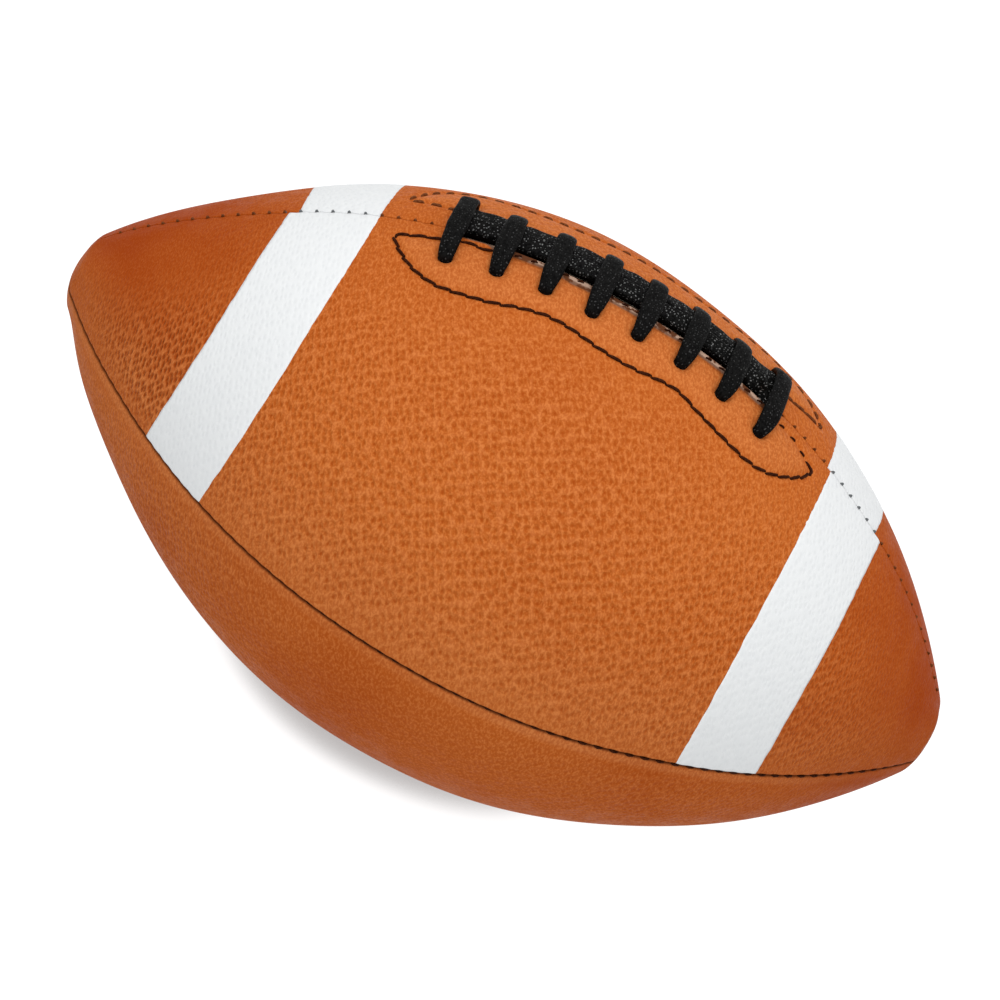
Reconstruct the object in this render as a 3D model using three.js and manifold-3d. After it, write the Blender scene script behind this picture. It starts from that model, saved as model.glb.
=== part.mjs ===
// American football: four leather panels sewn over cloth linings and a rubber bladder,
// closed at the top seam by one continuous flat lace. Millimetres, +X along the ball,
// lacing at +Z, lying on the panels beside its bottom seam at z = 0.
import * as THREE from "three";
import { mergeVertices } from "three/addons/utils/BufferGeometryUtils.js";
import Module from "manifold-3d";

// Ball outline
const ballLength = 266;
const ballDiameter = 155.2;
const pointOverrun = 4.7; // how far past the blunt tips the sides would meet
const sideFullness = 2.037;
const tipFullness = 0.843;
const noseDepth = 2.8; // length of the rounded nose
const poleRadius = 1.2; // the panel points stop this far from the long axis
const panelCrown = 0.5; // rise of a panel's middle over its seams
const tipStepBack = 1.25; // a layer's step back at the tips, over its step in at the middle
const restLength = 18; // length of the flat facets that the ball lies on
const columnsPerPanel = 8;

// Layers, from the outside in
const fitGap = 0.3;
const leatherThickness = 2;
const liningThickness = 1;
const facingThickness = 1;
const bladderWall = 1.2;

// Seams
const rollWidth = 2.5;
const rollDepth = 2;
const seamAllowance = 6.8; // depth of the edge turned in at a seam
const slitAllowance = 2.6; // depth of the edge turned in at the lacing slit
const turnedEdge = 1.8; // thickness of a turned-in edge
const threadRadius = 0.5;
const threadSides = 5;
const threadTipGap = 3.5; // a seam thread stops this far from the tip

// Lacing
const slitLength = 104;
const slitTaper = 4;
const slitWidth = 3.4;
const crossCount = 8;
const crossPitch = 12.94;
const crossShift = -1.1; // the crosses' middle along X
const crossSlant = 0.75; // a cross's back hole lies this much further towards -X
const frontHoleArc = 12.4; // from the lacing seam to a front hole
const backHoleArc = 12.6;
const endReach = 2.9; // the first and the last cross reach this much further back
const holeRadius = 2.2;
const holeSides = 6;
const laceWidth = 5;
const laceThickness = 1.9;
const pinchedWidth = 3;
const pinchedThickness = 2.3;
const strandGap = 0.5; // between the two lengthwise strands
const bandShift = 1.7; // the strands' middle, behind the slit's
const laceLift = 0.85; // clearance of the strands over the leather
const crossGap = 0.45; // clearance of a cross over a pinched strand

// Lacing reinforcement
const facingLength = 132;
const facingFrontWidth = 28;
const facingBackWidth = 33;
const facingTipWidth = 1;

// Stripes on the two panels beside the lacing
const stripeWidth = 22; // along X, one inch along the leather
const stripeMiddle = 77;
const stripeFilm = 0.35;

// Inflation valve in the middle of the bottom back panel
const valveStemRadius = 3.2;
const valveBoreRadius = 1.7;
const valveFlangeRadius = 8.5;
const valveFlangeThickness = 1.3;
const valveTopDepth = 0.6; // the stem ends this far under the leather's surface
const valveSides = 16;

// Places that follow from the sizes
const halfLength = ballLength / 2;
const maxRadius = ballDiameter / 2;
const quarter = Math.PI / 2;
const columnStep = quarter / columnsPerPanel;
const restHalf = restLength / 2;
const slitHalf = slitLength / 2;
const slitHalfWidth = slitWidth / 2;
const liningTop = leatherThickness + fitGap;
const liningBottom = liningTop + liningThickness;
const facingTop = liningBottom + fitGap;
const facingBottom = facingTop + facingThickness;
const laceRunTop = facingBottom + fitGap;
const bladderRest = liningBottom + fitGap;
const bladderUnderLace = laceRunTop + laceThickness + 2 * fitGap;
const bightRadius = (laceWidth + strandGap) / 2;
const nearStrand = bandShift - bightRadius;
const farStrand = bandShift + bightRadius;
const strandHeight = laceLift + laceThickness / 2;
const crossHeight = strandHeight + (pinchedThickness + laceThickness) / 2 + crossGap;

const wasm = await Module();
wasm.setup();

function smoothStep(value, from, to) {
  const t = THREE.MathUtils.clamp((value - from) / (to - from), 0, 1);
  return t * t * (3 - 2 * t);
}

// The ball's radius at a place along it
function sideRadius(x) {
  const along = Math.abs(x);
  const side = 1 - (along / (halfLength + pointOverrun)) ** sideFullness;
  const nose = Math.max(0, (along - halfLength + noseDepth) / noseDepth);
  return maxRadius * side ** tipFullness * Math.sqrt(Math.max(0, 1 - nose * nose));
}

// Where the panel points stop along X
function poleStation() {
  const noseRadius = sideRadius(halfLength - noseDepth);
  const share = Math.sqrt(1 - (poleRadius / noseRadius) ** 2);
  return halfLength - noseDepth + share * noseDepth;
}

// A point by its place along the ball, its angle from the lacing seam and its depth
function ballPoint(x, angle, depth) {
  const crown = 1 - (panelCrown / ballDiameter) * Math.cos(4 * angle);
  const radius = sideRadius(x) * (1 - depth / maxRadius) * crown;
  const along = x * (1 - (tipStepBack * depth) / halfLength);
  return new THREE.Vector3(along, radius * Math.sin(angle), radius * Math.cos(angle));
}

// Stations along X: the outer skin has all of them, the layers below leave out the fine ones
const tip = poleStation();
const noseStart = halfLength - noseDepth;
const shoulder = stripeMiddle + stripeWidth * 0.8;
const bladderHalf = [restHalf, slitHalf, stripeMiddle, (shoulder + noseStart) / 2, tip];
const bodyHalf = [...bladderHalf, slitHalf / 2, shoulder, noseStart];
const fineHalf = [slitHalf - slitTaper, noseStart + noseDepth * 0.6, noseStart + noseDepth * 0.88];

function bothEnds(half) {
  const sorted = [...half].sort((a, b) => a - b);
  return [...sorted.map((x) => -x).reverse(), ...sorted];
}

const coreStations = bothEnds(bodyHalf);
const liningStations = coreStations.slice(1, -1);
const bladderStations = bothEnds(bladderHalf);
const skinStations = bothEnds([...bodyHalf, ...fineHalf]);

// A point on the flat facets that all layers share, so that no layer cuts the next
function facetPoint(stations, x, angle, depth) {
  let i = 0;
  while (i < stations.length - 2 && stations[i + 1] < x) i += 1;
  const share = (x - stations[i]) / (stations[i + 1] - stations[i]);
  const low = (Math.floor(angle / columnStep - 0.5) + 0.5) * columnStep;
  const turn = (angle - low) / columnStep;
  const across = (at) => {
    const start = ballPoint(at, low, depth);
    return start.lerp(ballPoint(at, low + columnStep, depth), turn);
  };
  return across(stations[i]).lerp(across(stations[i + 1]), share);
}

// A point near the lacing by its arc from the lacing seam and its height over the leather
function lacePoint(x, arc, height) {
  const angle = arc / sideRadius(x);
  const outer = facetPoint(skinStations, x, angle, -height);
  const sunk = THREE.MathUtils.clamp(-height / leatherThickness, 0, 1);
  return outer.lerp(facetPoint(coreStations, x, angle, -height), sunk);
}

function geometryFrom(points, faces) {
  const geometry = new THREE.BufferGeometry();
  geometry.setAttribute("position", new THREE.Float32BufferAttribute(points, 3));
  geometry.setIndex(faces);
  let volume = 0;
  const [a, b, c] = [new THREE.Vector3(), new THREE.Vector3(), new THREE.Vector3()];
  for (let i = 0; i < faces.length; i += 3) {
    a.fromArray(points, faces[i] * 3);
    b.fromArray(points, faces[i + 1] * 3);
    c.fromArray(points, faces[i + 2] * 3);
    volume += a.dot(b.cross(c));
  }
  if (volume < 0) geometry.setIndex(faces.map((_, i) => faces[i - (i % 3) + 2 - (i % 3)]));
  return geometry;
}

// Faces that join each ring of points to the next
function sideFaces(ringCount, ringSize, closed) {
  const faces = [];
  const spans = closed ? ringCount : ringCount - 1;
  for (let j = 0; j < spans; j += 1) {
    const here = j * ringSize;
    const next = ((j + 1) % ringCount) * ringSize;
    for (let i = 0; i < ringSize; i += 1) {
      const k = (i + 1) % ringSize;
      faces.push(here + i, here + k, next + k, here + i, next + k, next + i);
    }
  }
  return faces;
}

// Faces that close a ring, turned to match its first or last side
function capFaces(outline, first, atStart) {
  const turn = Math.sign(THREE.ShapeUtils.area(outline));
  return THREE.ShapeUtils.triangulateShape(outline, []).flatMap(([a, b, c]) => {
    const side = Math.sign(THREE.ShapeUtils.area([outline[a], outline[b], outline[c]]));
    const keep = (side === turn) !== atStart;
    return keep ? [first + a, first + b, first + c] : [first + a, first + c, first + b];
  });
}

// A solid through rings of [x, angle, depth] on the shared facets
function layerSolid(stations, rings) {
  const size = rings[0].length;
  const points = rings.flat().flatMap(([x, angle, depth]) =>
    facetPoint(stations, x, angle, depth).toArray());
  const flat = (ring) => ring.map(([, angle, depth]) => new THREE.Vector2(
    (maxRadius - depth) * Math.sin(angle),
    (maxRadius - depth) * Math.cos(angle),
  ));
  const faces = [
    ...sideFaces(rings.length, size, false),
    ...capFaces(flat(rings[0]), 0, true),
    ...capFaces(flat(rings.at(-1)), (rings.length - 1) * size, false),
  ];
  return geometryFrom(points, faces);
}

function solidOf(geometry) {
  const bare = geometry.clone();
  bare.deleteAttribute("normal");
  bare.deleteAttribute("uv");
  const merged = mergeVertices(bare);
  return new wasm.Manifold(new wasm.Mesh({
    numProp: 3,
    vertProperties: new Float32Array(merged.attributes.position.array),
    triVerts: new Uint32Array(merged.index.array),
  }));
}

function cut(geometry, cutters) {
  const solid = cutters.reduce((rest, cutter) => rest.subtract(solidOf(cutter)), solidOf(geometry));
  const mesh = solid.getMesh();
  return geometryFrom(Array.from(mesh.vertProperties), Array.from(mesh.triVerts));
}

const group = new THREE.Group();

function addPiece(name, geometry, [color, roughness, metalness = 0]) {
  const material = new THREE.MeshStandardMaterial({ color, roughness, metalness });
  const mesh = new THREE.Mesh(geometry, material);
  mesh.name = name;
  group.add(mesh);
}

const leatherLook = ["#bd6a32", 0.55];
const clothLook = ["#d8cdb8", 0.9];
const facingLook = ["#8a6a4c", 0.85];
const rubberLook = ["#2a2826", 0.7];
const threadLook = ["#3a1c10", 0.8];
const stripeLook = ["#e6e8ea", 0.5];
const laceLook = ["#151414", 0.6];

// Panels run from one seam to the next, a quarter turn later
const panels = [
  { side: "lace_front", seam: -1 },
  { side: "lace_back", seam: 0 },
  { side: "bottom_back", seam: 1 },
  { side: "bottom_front", seam: 2 },
];

const isLacing = (seam) => ((seam % 4) + 4) % 4 === 0;

// How far the lacing slit stands open, from 0 to 1
function slitOpen(x) {
  return THREE.MathUtils.clamp((slitHalf - Math.abs(x)) / slitTaper, 0, 1);
}

// Half the gap between two panels at a seam
function seamHalfGap(seam, x) {
  const shut = fitGap / 2;
  return isLacing(seam) ? shut + (slitHalfWidth - shut) * slitOpen(x) : shut;
}

// Depth of the edge turned in at a seam
function turnedDepth(seam, x) {
  const past = smoothStep(Math.abs(x), slitHalf, stripeMiddle);
  return isLacing(seam) ? slitAllowance + (seamAllowance - slitAllowance) * past : seamAllowance;
}

// Sizes of a panel's edge along a seam, smaller where the panel narrows to its point
function edgeSizes(seam, x) {
  const halfArc = sideRadius(x) * (quarter / 2);
  return {
    gap: seamHalfGap(seam, x),
    roll: Math.min(rollWidth, halfArc * 0.4),
    turned: Math.min(turnedEdge, halfArc * 0.3),
    depth: turnedDepth(seam, x),
  };
}

// Angles of a panel's inner columns, kept clear of its edges
function columnAngles(x, firstEdge, lastEdge) {
  const radius = sideRadius(x);
  const margin = columnStep * 0.06;
  return Array.from({ length: columnsPerPanel }, (_, k) => {
    const low = firstEdge / radius + (k + 1) * margin;
    const high = quarter - lastEdge / radius - (columnsPerPanel - k) * margin;
    return THREE.MathUtils.clamp((k + 0.5) * columnStep, low, high);
  });
}

// One edge of a panel's section as [arc from the seam, depth], from inside to outside
function panelEdge({ gap, roll, turned, depth }) {
  const rolled = [0, 1, 2, 3].map((i) => {
    const lean = (i / 3) * quarter;
    return [gap + roll * (1 - Math.cos(lean)), rollDepth * (1 - Math.sin(lean))];
  });
  return [[gap + turned, leatherThickness], [gap + turned, depth], [gap, depth], ...rolled];
}

function panelRing(seam, x) {
  const radius = sideRadius(x);
  const start = seam * quarter;
  const first = edgeSizes(seam, x);
  const last = edgeSizes(seam + 1, x);
  const outer = columnAngles(x, first.gap + first.roll, last.gap + last.roll);
  const inner = columnAngles(x, first.gap + first.turned, last.gap + last.turned);
  return [
    ...panelEdge(first).map(([arc, depth]) => [x, start + arc / radius, depth]),
    ...outer.map((angle) => [x, start + angle, 0]),
    ...panelEdge(last).reverse().map(([arc, depth]) => [x, start + quarter - arc / radius, depth]),
    ...inner.reverse().map((angle) => [x, start + angle, leatherThickness]),
  ];
}

// A lining lies under its panel, between the turned-in edges
function liningRing(seam, x) {
  const radius = sideRadius(x);
  const start = seam * quarter;
  const edge = (at) => {
    const sizes = edgeSizes(at, x);
    const gap = isLacing(at) && Math.abs(x) < stripeMiddle ? slitHalfWidth : sizes.gap;
    return Math.min(gap + sizes.turned + fitGap, radius * quarter * 0.4);
  };
  const angles = columnAngles(x, edge(seam), edge(seam + 1));
  const across = [edge(seam) / radius, ...angles, quarter - edge(seam + 1) / radius];
  return [
    ...across.map((angle) => [x, start + angle, liningTop]),
    ...across.reverse().map((angle) => [x, start + angle, liningBottom]),
  ];
}

// Lacing holes as [x, arc], in pairs along the slit
const crosses = Array.from({ length: crossCount }, (_, i) => {
  const x = crossShift + (i - (crossCount - 1) / 2) * crossPitch;
  const reach = i === 0 || i === crossCount - 1 ? endReach : 0;
  const front = [x + crossSlant / 2, -frontHoleArc];
  const back = [x - crossSlant / 2, backHoleArc + reach];
  return { middle: x, front, back };
});

function roundCutter(from, to, radius, sides) {
  const geometry = new THREE.CylinderGeometry(radius, radius, from.distanceTo(to), sides);
  const axis = to.clone().sub(from).normalize();
  geometry.applyQuaternion(new THREE.Quaternion().setFromUnitVectors(THREE.Object3D.DEFAULT_UP, axis));
  const middle = from.clone().lerp(to, 0.5);
  return geometry.translate(middle.x, middle.y, middle.z);
}

function laceHoles(side) {
  const reach = facingBottom + laceThickness;
  return crosses.map((cross) => {
    const [top, bottom] = [reach, -reach].map((height) => lacePoint(...cross[side], height));
    return roundCutter(top, bottom, holeRadius, holeSides);
  });
}

// The valve's line, from over the leather to inside the bladder
const valveAngle = 1.5 * quarter;
const valvePoint = (depth) => facetPoint(coreStations, 0, valveAngle, depth);
const valveHole = () => {
  const reach = bladderRest + bladderWall + 2 * valveFlangeThickness;
  return roundCutter(valvePoint(-reach), valvePoint(reach), valveStemRadius + fitGap, valveSides);
};

const panelHoles = {
  lace_front: laceHoles("front"),
  lace_back: laceHoles("back"),
  bottom_back: [valveHole()],
};

panels.forEach(({ side, seam }) => {
  const cutters = panelHoles[side] ?? [];
  const leather = layerSolid(skinStations, skinStations.map((x) => panelRing(seam, x)));
  const lining = layerSolid(coreStations, liningStations.map((x) => liningRing(seam, x)));
  addPiece(`panel_${side}`, cut(leather, cutters), leatherLook);
  addPiece(`lining_${side}`, cut(lining, cutters), clothLook);
});

// Lace facings: leaf-shaped reinforcements under the linings beside the slit
function facingRing(side, x, width) {
  const radius = sideRadius(x);
  const inner = slitHalfWidth + turnedEdge + fitGap;
  const leaf = Math.sqrt(Math.max(0, 1 - (Math.abs(x) / (facingLength / 2)) ** 4));
  const span = facingTipWidth + (width - inner - facingTipWidth) * leaf;
  const ridges = [0.5, 1.5].map((column, k) => {
    const share = (column * columnStep * radius - inner) / span;
    return THREE.MathUtils.clamp(share, 0.2 + 0.2 * k, 0.6 + 0.2 * k);
  });
  const across = [0, ...ridges, 1].map((share) => (side * (inner + span * share)) / radius);
  return [
    ...across.map((angle) => [x, angle, facingTop]),
    ...across.reverse().map((angle) => [x, angle, facingBottom]),
  ];
}

function facingStations() {
  const half = facingLength / 2;
  const inside = bodyHalf.filter((x) => x < half * 0.9);
  return bothEnds([...inside, half * 0.93, half * 0.98]);
}

[["front", -1, facingFrontWidth], ["back", 1, facingBackWidth]].forEach(([side, sign, width]) => {
  const rings = facingStations().map((x) => facingRing(sign, x, width));
  addPiece(`lace_facing_${side}`, cut(layerSolid(coreStations, rings), laceHoles(side)), facingLook);
});

// Bladder: a balloon that dips under the seams, open where the valve sits
function balloon(depthAt) {
  const columns = 4 * columnsPerPanel;
  const points = [];
  const faces = [];
  const inner = bladderStations.slice(1, -1);
  inner.forEach((x) => {
    for (let k = 0; k < columns; k += 1) {
      const angle = (k + 0.5) * columnStep;
      points.push(...ballPoint(x, angle, depthAt(x, angle)).toArray());
    }
  });
  faces.push(...sideFaces(inner.length, columns, false));
  [0, inner.length - 1].forEach((ring) => {
    const pole = points.length / 3;
    const x = ring === 0 ? bladderStations[0] : bladderStations.at(-1);
    const depth = depthAt(x, 0);
    points.push(x * (1 - (tipStepBack * depth) / halfLength), 0, 0);
    for (let k = 0; k < columns; k += 1) {
      const [a, b] = [ring * columns + k, ring * columns + ((k + 1) % columns)];
      faces.push(...(ring === 0 ? [pole, b, a] : [pole, a, b]));
    }
  });
  return geometryFrom(points, faces);
}

function bladderDepth(x, angle) {
  const nearest = Math.round(angle / quarter) * quarter;
  const arc = Math.abs(angle - nearest) * sideRadius(x);
  const clear = backHoleArc + endReach + holeRadius;
  return bladderUnderLace + (bladderRest - bladderUnderLace) * smoothStep(arc, clear, 3 * clear);
}

const bladderOuter = balloon(bladderDepth);
const bladderHollow = balloon((x, angle) => bladderDepth(x, angle) + bladderWall);
addPiece("bladder", cut(bladderOuter, [bladderHollow, valveHole()]), rubberLook);

// Valve: a rubber stem and flange under the bladder wall, with a self-sealing plug in its bore
const valveAxis = valvePoint(0).sub(valvePoint(bladderRest)).normalize();

function turned(profile) {
  const outline = profile.map(([radius, depth]) => new THREE.Vector2(radius, -depth));
  const geometry = mergeVertices(new THREE.LatheGeometry([...outline, outline[0]], valveSides));
  geometry.applyQuaternion(new THREE.Quaternion().setFromUnitVectors(THREE.Object3D.DEFAULT_UP, valveAxis));
  const seat = valvePoint(0);
  geometry.translate(seat.x, seat.y, seat.z);
  geometry.deleteAttribute("normal");
  geometry.deleteAttribute("uv");
  const clean = mergeVertices(geometry);
  return geometryFrom(Array.from(clean.attributes.position.array), Array.from(clean.index.array));
}

// How far the bladder wall curves away from the valve under its flange's rim
const rimFall = Math.max(...Array.from({ length: valveSides }, (_, k) => {
  const turn = (k / valveSides) * 4 * quarter;
  const angle = valveAngle + (valveFlangeRadius * Math.sin(turn)) / (maxRadius - bladderRest - bladderWall);
  const rim = facetPoint(bladderStations, valveFlangeRadius * Math.cos(turn), angle, bladderRest);
  return valvePoint(bladderRest).sub(rim).dot(valveAxis);
}));
const valveSeat = bladderRest + bladderWall + fitGap + rimFall;
const valveEnd = valveSeat + valveFlangeThickness;
addPiece("valve_body", turned([
  [valveBoreRadius, valveTopDepth],
  [valveStemRadius - 0.4, valveTopDepth],
  [valveStemRadius, valveTopDepth + 0.4],
  [valveStemRadius, valveSeat],
  [valveFlangeRadius, valveSeat],
  [valveFlangeRadius, valveEnd - 0.5],
  [valveFlangeRadius - 0.5, valveEnd],
  [valveBoreRadius, valveEnd],
]), rubberLook);
const plugRadius = valveBoreRadius - fitGap;
const needleRadius = plugRadius * 0.25;
addPiece("valve_plug", turned([
  [needleRadius, valveTopDepth + 0.5],
  [plugRadius, valveTopDepth + 0.3],
  [plugRadius, valveEnd],
  [needleRadius, valveEnd + 0.8],
]), rubberLook);

// Stripes: thin films over the leather from seam roll to seam roll
function stripeSolid(seam, sign) {
  const middle = sign * stripeMiddle;
  const ends = [middle - stripeWidth / 2, middle, middle + stripeWidth / 2];
  const rings = ends.map((x) => {
    const edge = (at) => edgeSizes(at, x).gap + rollWidth / 2;
    const radius = sideRadius(x);
    const shoulders = [seam, seam + 1].map((at) => edgeSizes(at, x).gap + rollWidth);
    const sunk = rollDepth * (1 - Math.sin((2 / 3) * quarter));
    const across = [
      [edge(seam) / radius, sunk],
      [shoulders[0] / radius, 0],
      ...columnAngles(x, ...shoulders).map((angle) => [angle, 0]),
      [quarter - shoulders[1] / radius, 0],
      [quarter - edge(seam + 1) / radius, sunk],
    ];
    const layer = (lift) => across.map(([angle, depth]) => [x, seam * quarter + angle, depth - lift]);
    return [...layer(fitGap + stripeFilm), ...layer(fitGap).reverse()];
  });
  return layerSolid(skinStations, rings);
}

[["front", -1], ["back", 0]].forEach(([side, seam]) => {
  addPiece(`stripe_left_${side}`, stripeSolid(seam, -1), stripeLook);
  addPiece(`stripe_right_${side}`, stripeSolid(seam, 1), stripeLook);
});

// Seam threads lie in the groove between two rolled panel edges
function seamThread(seam, from, to) {
  const between = skinStations.filter((x) => x > from + threadRadius && x < to - threadRadius);
  const rings = [from, ...between, to].map((x) =>
    Array.from({ length: threadSides }, (_, i) => {
      const turn = (i / threadSides) * 4 * quarter;
      const arc = threadRadius * Math.sin(turn);
      return [x, seam * quarter + arc / sideRadius(x), threadRadius * (1 - Math.cos(turn))];
    }));
  return layerSolid(skinStations, rings);
}

const threadEnd = halfLength - threadTipGap;
addPiece("seam_thread_lace_left", seamThread(0, -threadEnd, -slitHalf - fitGap), threadLook);
addPiece("seam_thread_lace_right", seamThread(0, slitHalf + fitGap, threadEnd), threadLook);
addPiece("seam_thread_back", seamThread(1, -threadEnd, threadEnd), threadLook);
addPiece("seam_thread_bottom", seamThread(2, -threadEnd, threadEnd), threadLook);
addPiece("seam_thread_front", seamThread(3, -threadEnd, threadEnd), threadLook);

// Rings of a section along a path of points, each with one side to its face direction
function pathRings(path, closed, sectionAt) {
  const count = path.length;
  return path.map((point, i) => {
    const before = path[closed ? (i + count - 1) % count : Math.max(0, i - 1)];
    const after = path[closed ? (i + 1) % count : Math.min(count - 1, i + 1)];
    const along = after.clone().sub(before).normalize();
    const { section, face } = sectionAt(i, along);
    const normal = face.addScaledVector(along, -face.dot(along)).normalize();
    const across = along.clone().cross(normal);
    return section.map(([wide, thick]) =>
      point.clone().addScaledVector(across, wide).addScaledVector(normal, thick));
  });
}

function tubeSolid(rings, closed) {
  const size = rings[0].length;
  const faces = sideFaces(rings.length, size, closed);
  if (!closed) {
    const last = (rings.length - 1) * size;
    for (let i = 1; i < size - 1; i += 1) {
      faces.push(0, i + 1, i, last, last + i, last + i + 1);
    }
  }
  return geometryFrom(rings.flat().flatMap((point) => point.toArray()), faces);
}

// The directions along the ball and out of the leather at a place near the lacing
function surfaceAt(x, arc) {
  const along = lacePoint(x + laceThickness, arc, 0).sub(lacePoint(x - laceThickness, arc, 0)).normalize();
  const out = lacePoint(x, arc, laceThickness).sub(lacePoint(x, arc, 0)).normalize();
  return { along, out };
}

// Facing stitches: a thread loop round each facing, as [x, arc] from its left cusp
const stitchOutlines = {
  front: [
    [-59.5, -9], [-52.9, -17.6], [-43, -23.8], [-27.7, -24.4], [-1, -22.8], [24.8, -21.2], [42, -22.5],
    [53, -19.2], [60.4, -12], [61, -8.2], [54.2, -5.8], [36, -5.4], [0, -5.4], [-36, -5.6], [-52, -5.8],
  ],
  back: [
    [-61, 11.6], [-57.5, 20.4], [-52, 26], [-44, 29], [-26, 26.8], [-4, 26.2], [20, 24.4],
    [42, 25.2], [53.5, 22.4], [60.4, 14], [50.5, 10], [36, 8.4], [0, 8], [-36, 8.6], [-52, 10.5],
  ],
};
const stitchSteps = 54;

Object.entries(stitchOutlines).forEach(([side, outline]) => {
  const height = fitGap + threadRadius;
  const curve = new THREE.CatmullRomCurve3(outline.map(([x, arc]) => new THREE.Vector3(x, arc, 0)), true);
  const places = curve.getSpacedPoints(stitchSteps).slice(0, -1);
  const path = places.map(({ x, y }) => lacePoint(x, y, height));
  const section = Array.from({ length: threadSides }, (_, i) => {
    const turn = (i / threadSides) * 4 * quarter;
    return [threadRadius * Math.cos(turn), threadRadius * Math.sin(turn)];
  });
  const rings = pathRings(path, true, (i) => ({ section, face: surfaceAt(places[i].x, places[i].y).out }));
  addPiece(`facing_stitch_${side}`, tubeSolid(rings, true), threadLook);
});

// The lace's route as [x, arc, height, pinch]: two strands over the slit, then whipped crosses
const runHeight = -(laceRunTop + laceThickness / 2);
const shoulderHeight = strandHeight + 0.2;
const bightDip = 0.25; // the bight is pressed down by the last cross
const bightSetback = 2.2; // the bight's turn starts this much before the last cross's middle

// Through a hole from the inside to the outside
function upThrough([x, arc]) {
  const side = Math.sign(arc);
  return [
    [x, arc - side * 4.2, runHeight, 0],
    [x, arc - side * 2, runHeight - 0.2, 0.5],
    [x, arc - side * 0.4, runHeight + 0.7, 1],
    [x, arc, runHeight + 2.4, 1],
    [x, arc, -leatherThickness / 2, 1],
    [x, arc - side * 0.4, shoulderHeight - 1, 1],
    [x, arc - side * 2, shoulderHeight, 0.6],
  ];
}

// Over the two strands from a front hole to its back hole
function overStrands({ front, back }) {
  const at = (arc, height) => {
    const share = (arc - front[1]) / (back[1] - front[1]);
    return [front[0] + (back[0] - front[0]) * share, arc, height, 0];
  };
  const slope = (crossHeight + shoulderHeight) / 2 - 0.1;
  const nearCrest = nearStrand - laceWidth / 2 - 0.9;
  const farCrest = farStrand + laceWidth / 2 + 0.9 + back[1] - backHoleArc;
  return [
    at((front[1] + nearCrest) / 2, slope),
    at(nearCrest, crossHeight),
    at((nearCrest + farCrest) / 2, crossHeight + 0.2),
    at(farCrest, crossHeight),
    at((back[1] + farCrest) / 2 - 0.9, slope),
  ];
}

function strand(arc, from, to) {
  const steps = 8;
  return Array.from({ length: steps + 1 }, (_, i) => {
    const x = from + ((to - from) * i) / steps;
    return [x, arc, strandHeight, 0];
  });
}

// The free end lies under the first cross, and the two strands are joined by a bight under the last
function laceRoute() {
  const first = crosses[0].middle;
  const last = crosses.at(-1).middle;
  const bight = [90, 45, 0, -45, -90].map((degrees) => {
    const turn = THREE.MathUtils.degToRad(degrees);
    const x = last - bightSetback + bightRadius * Math.cos(turn);
    const pinch = Math.abs(degrees) < 90 ? 1 : 0.6;
    return [x, bandShift + bightRadius * Math.sin(turn), strandHeight - bightDip * pinch, pinch];
  });
  const dive = [
    [first + 2.6, nearStrand + 0.2, strandHeight - 0.4, 0.4],
    [first + 1.1, -0.7, strandHeight - 1.5, 0.9],
    [first + 0.2, -0.1, -leatherThickness / 2, 0.9],
    [first + 0.1, 0, -leatherThickness - 1.2, 0.8],
    [first + 0.3, -1.4, runHeight + 0.9, 0.4],
    [first + 0.6, -4.4, runHeight, 0],
  ];
  const whips = crosses.flatMap((cross) => [
    ...upThrough(cross.front),
    ...overStrands(cross),
    ...upThrough(cross.back).reverse(),
    [cross.middle + crossPitch / 2, 0, runHeight + fitGap, 0],
  ]);
  const [endX] = crosses.at(-1).back;
  return [
    ...strand(farStrand, first, last - 6),
    ...bight,
    ...strand(nearStrand, last - 6, first + 4),
    ...dive,
    ...whips.slice(0, -1),
    [endX + 1.5, 7, runHeight, 0],
    [endX + 4, 2, runHeight, 0],
  ];
}

// A flat six-sided section, rounder where a hole squeezes it
function laceSection(pinch) {
  const wide = THREE.MathUtils.lerp(laceWidth, pinchedWidth, pinch) / 2;
  const thick = THREE.MathUtils.lerp(laceThickness, pinchedThickness, pinch) / 2;
  const shoulderWide = wide - thick * 0.6;
  return [
    [wide, 0], [shoulderWide, thick], [-shoulderWide, thick],
    [-wide, 0], [-shoulderWide, -thick], [shoulderWide, -thick],
  ];
}

// The least distance between stretches of a tube that lie apart along it, on points of its surface
function leastGap(rings, apart) {
  const samples = [];
  let travelled = 0;
  rings.slice(0, -1).forEach((ring, j) => {
    const next = rings[j + 1];
    const length = ring[0].clone().add(ring[3]).distanceTo(next[0].clone().add(next[3])) / 2;
    const steps = Math.ceil(length);
    for (let s = 0; s < steps; s += 1) {
      ring.forEach((point, i) => {
        const corner = point.clone().lerp(next[i], s / steps);
        const k = (i + 1) % ring.length;
        const other = ring[k].clone().lerp(next[k], s / steps);
        [0, 0.25, 0.5, 0.75].forEach((share) =>
          samples.push({ at: travelled + (length * s) / steps, point: corner.clone().lerp(other, share) }));
      });
    }
    travelled += length;
  });
  let least = Infinity;
  samples.forEach((a, i) => {
    for (let j = i + 1; j < samples.length; j += 1) {
      const b = samples[j];
      if (b.at - a.at > apart) least = Math.min(least, a.point.distanceToSquared(b.point));
    }
  });
  return { least: Math.sqrt(least), length: travelled };
}

const route = laceRoute();
const lacePath = route.map(([x, arc, height]) => lacePoint(x, arc, height));
const laceRings = pathRings(lacePath, false, (i, direction) => {
  const [x, arc, , pinch] = route[i];
  const { along, out } = surfaceAt(x, arc);
  return { section: laceSection(pinch), face: along.cross(direction).addScaledVector(out, -0.3) };
});
const laceGap = leastGap(laceRings, 4 * laceWidth);
console.log(`lace ${laceGap.length.toFixed(0)} mm long, least gap to itself ${laceGap.least.toFixed(2)} mm`);
addPiece("lace", tubeSolid(laceRings, false), laceLook);

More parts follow.
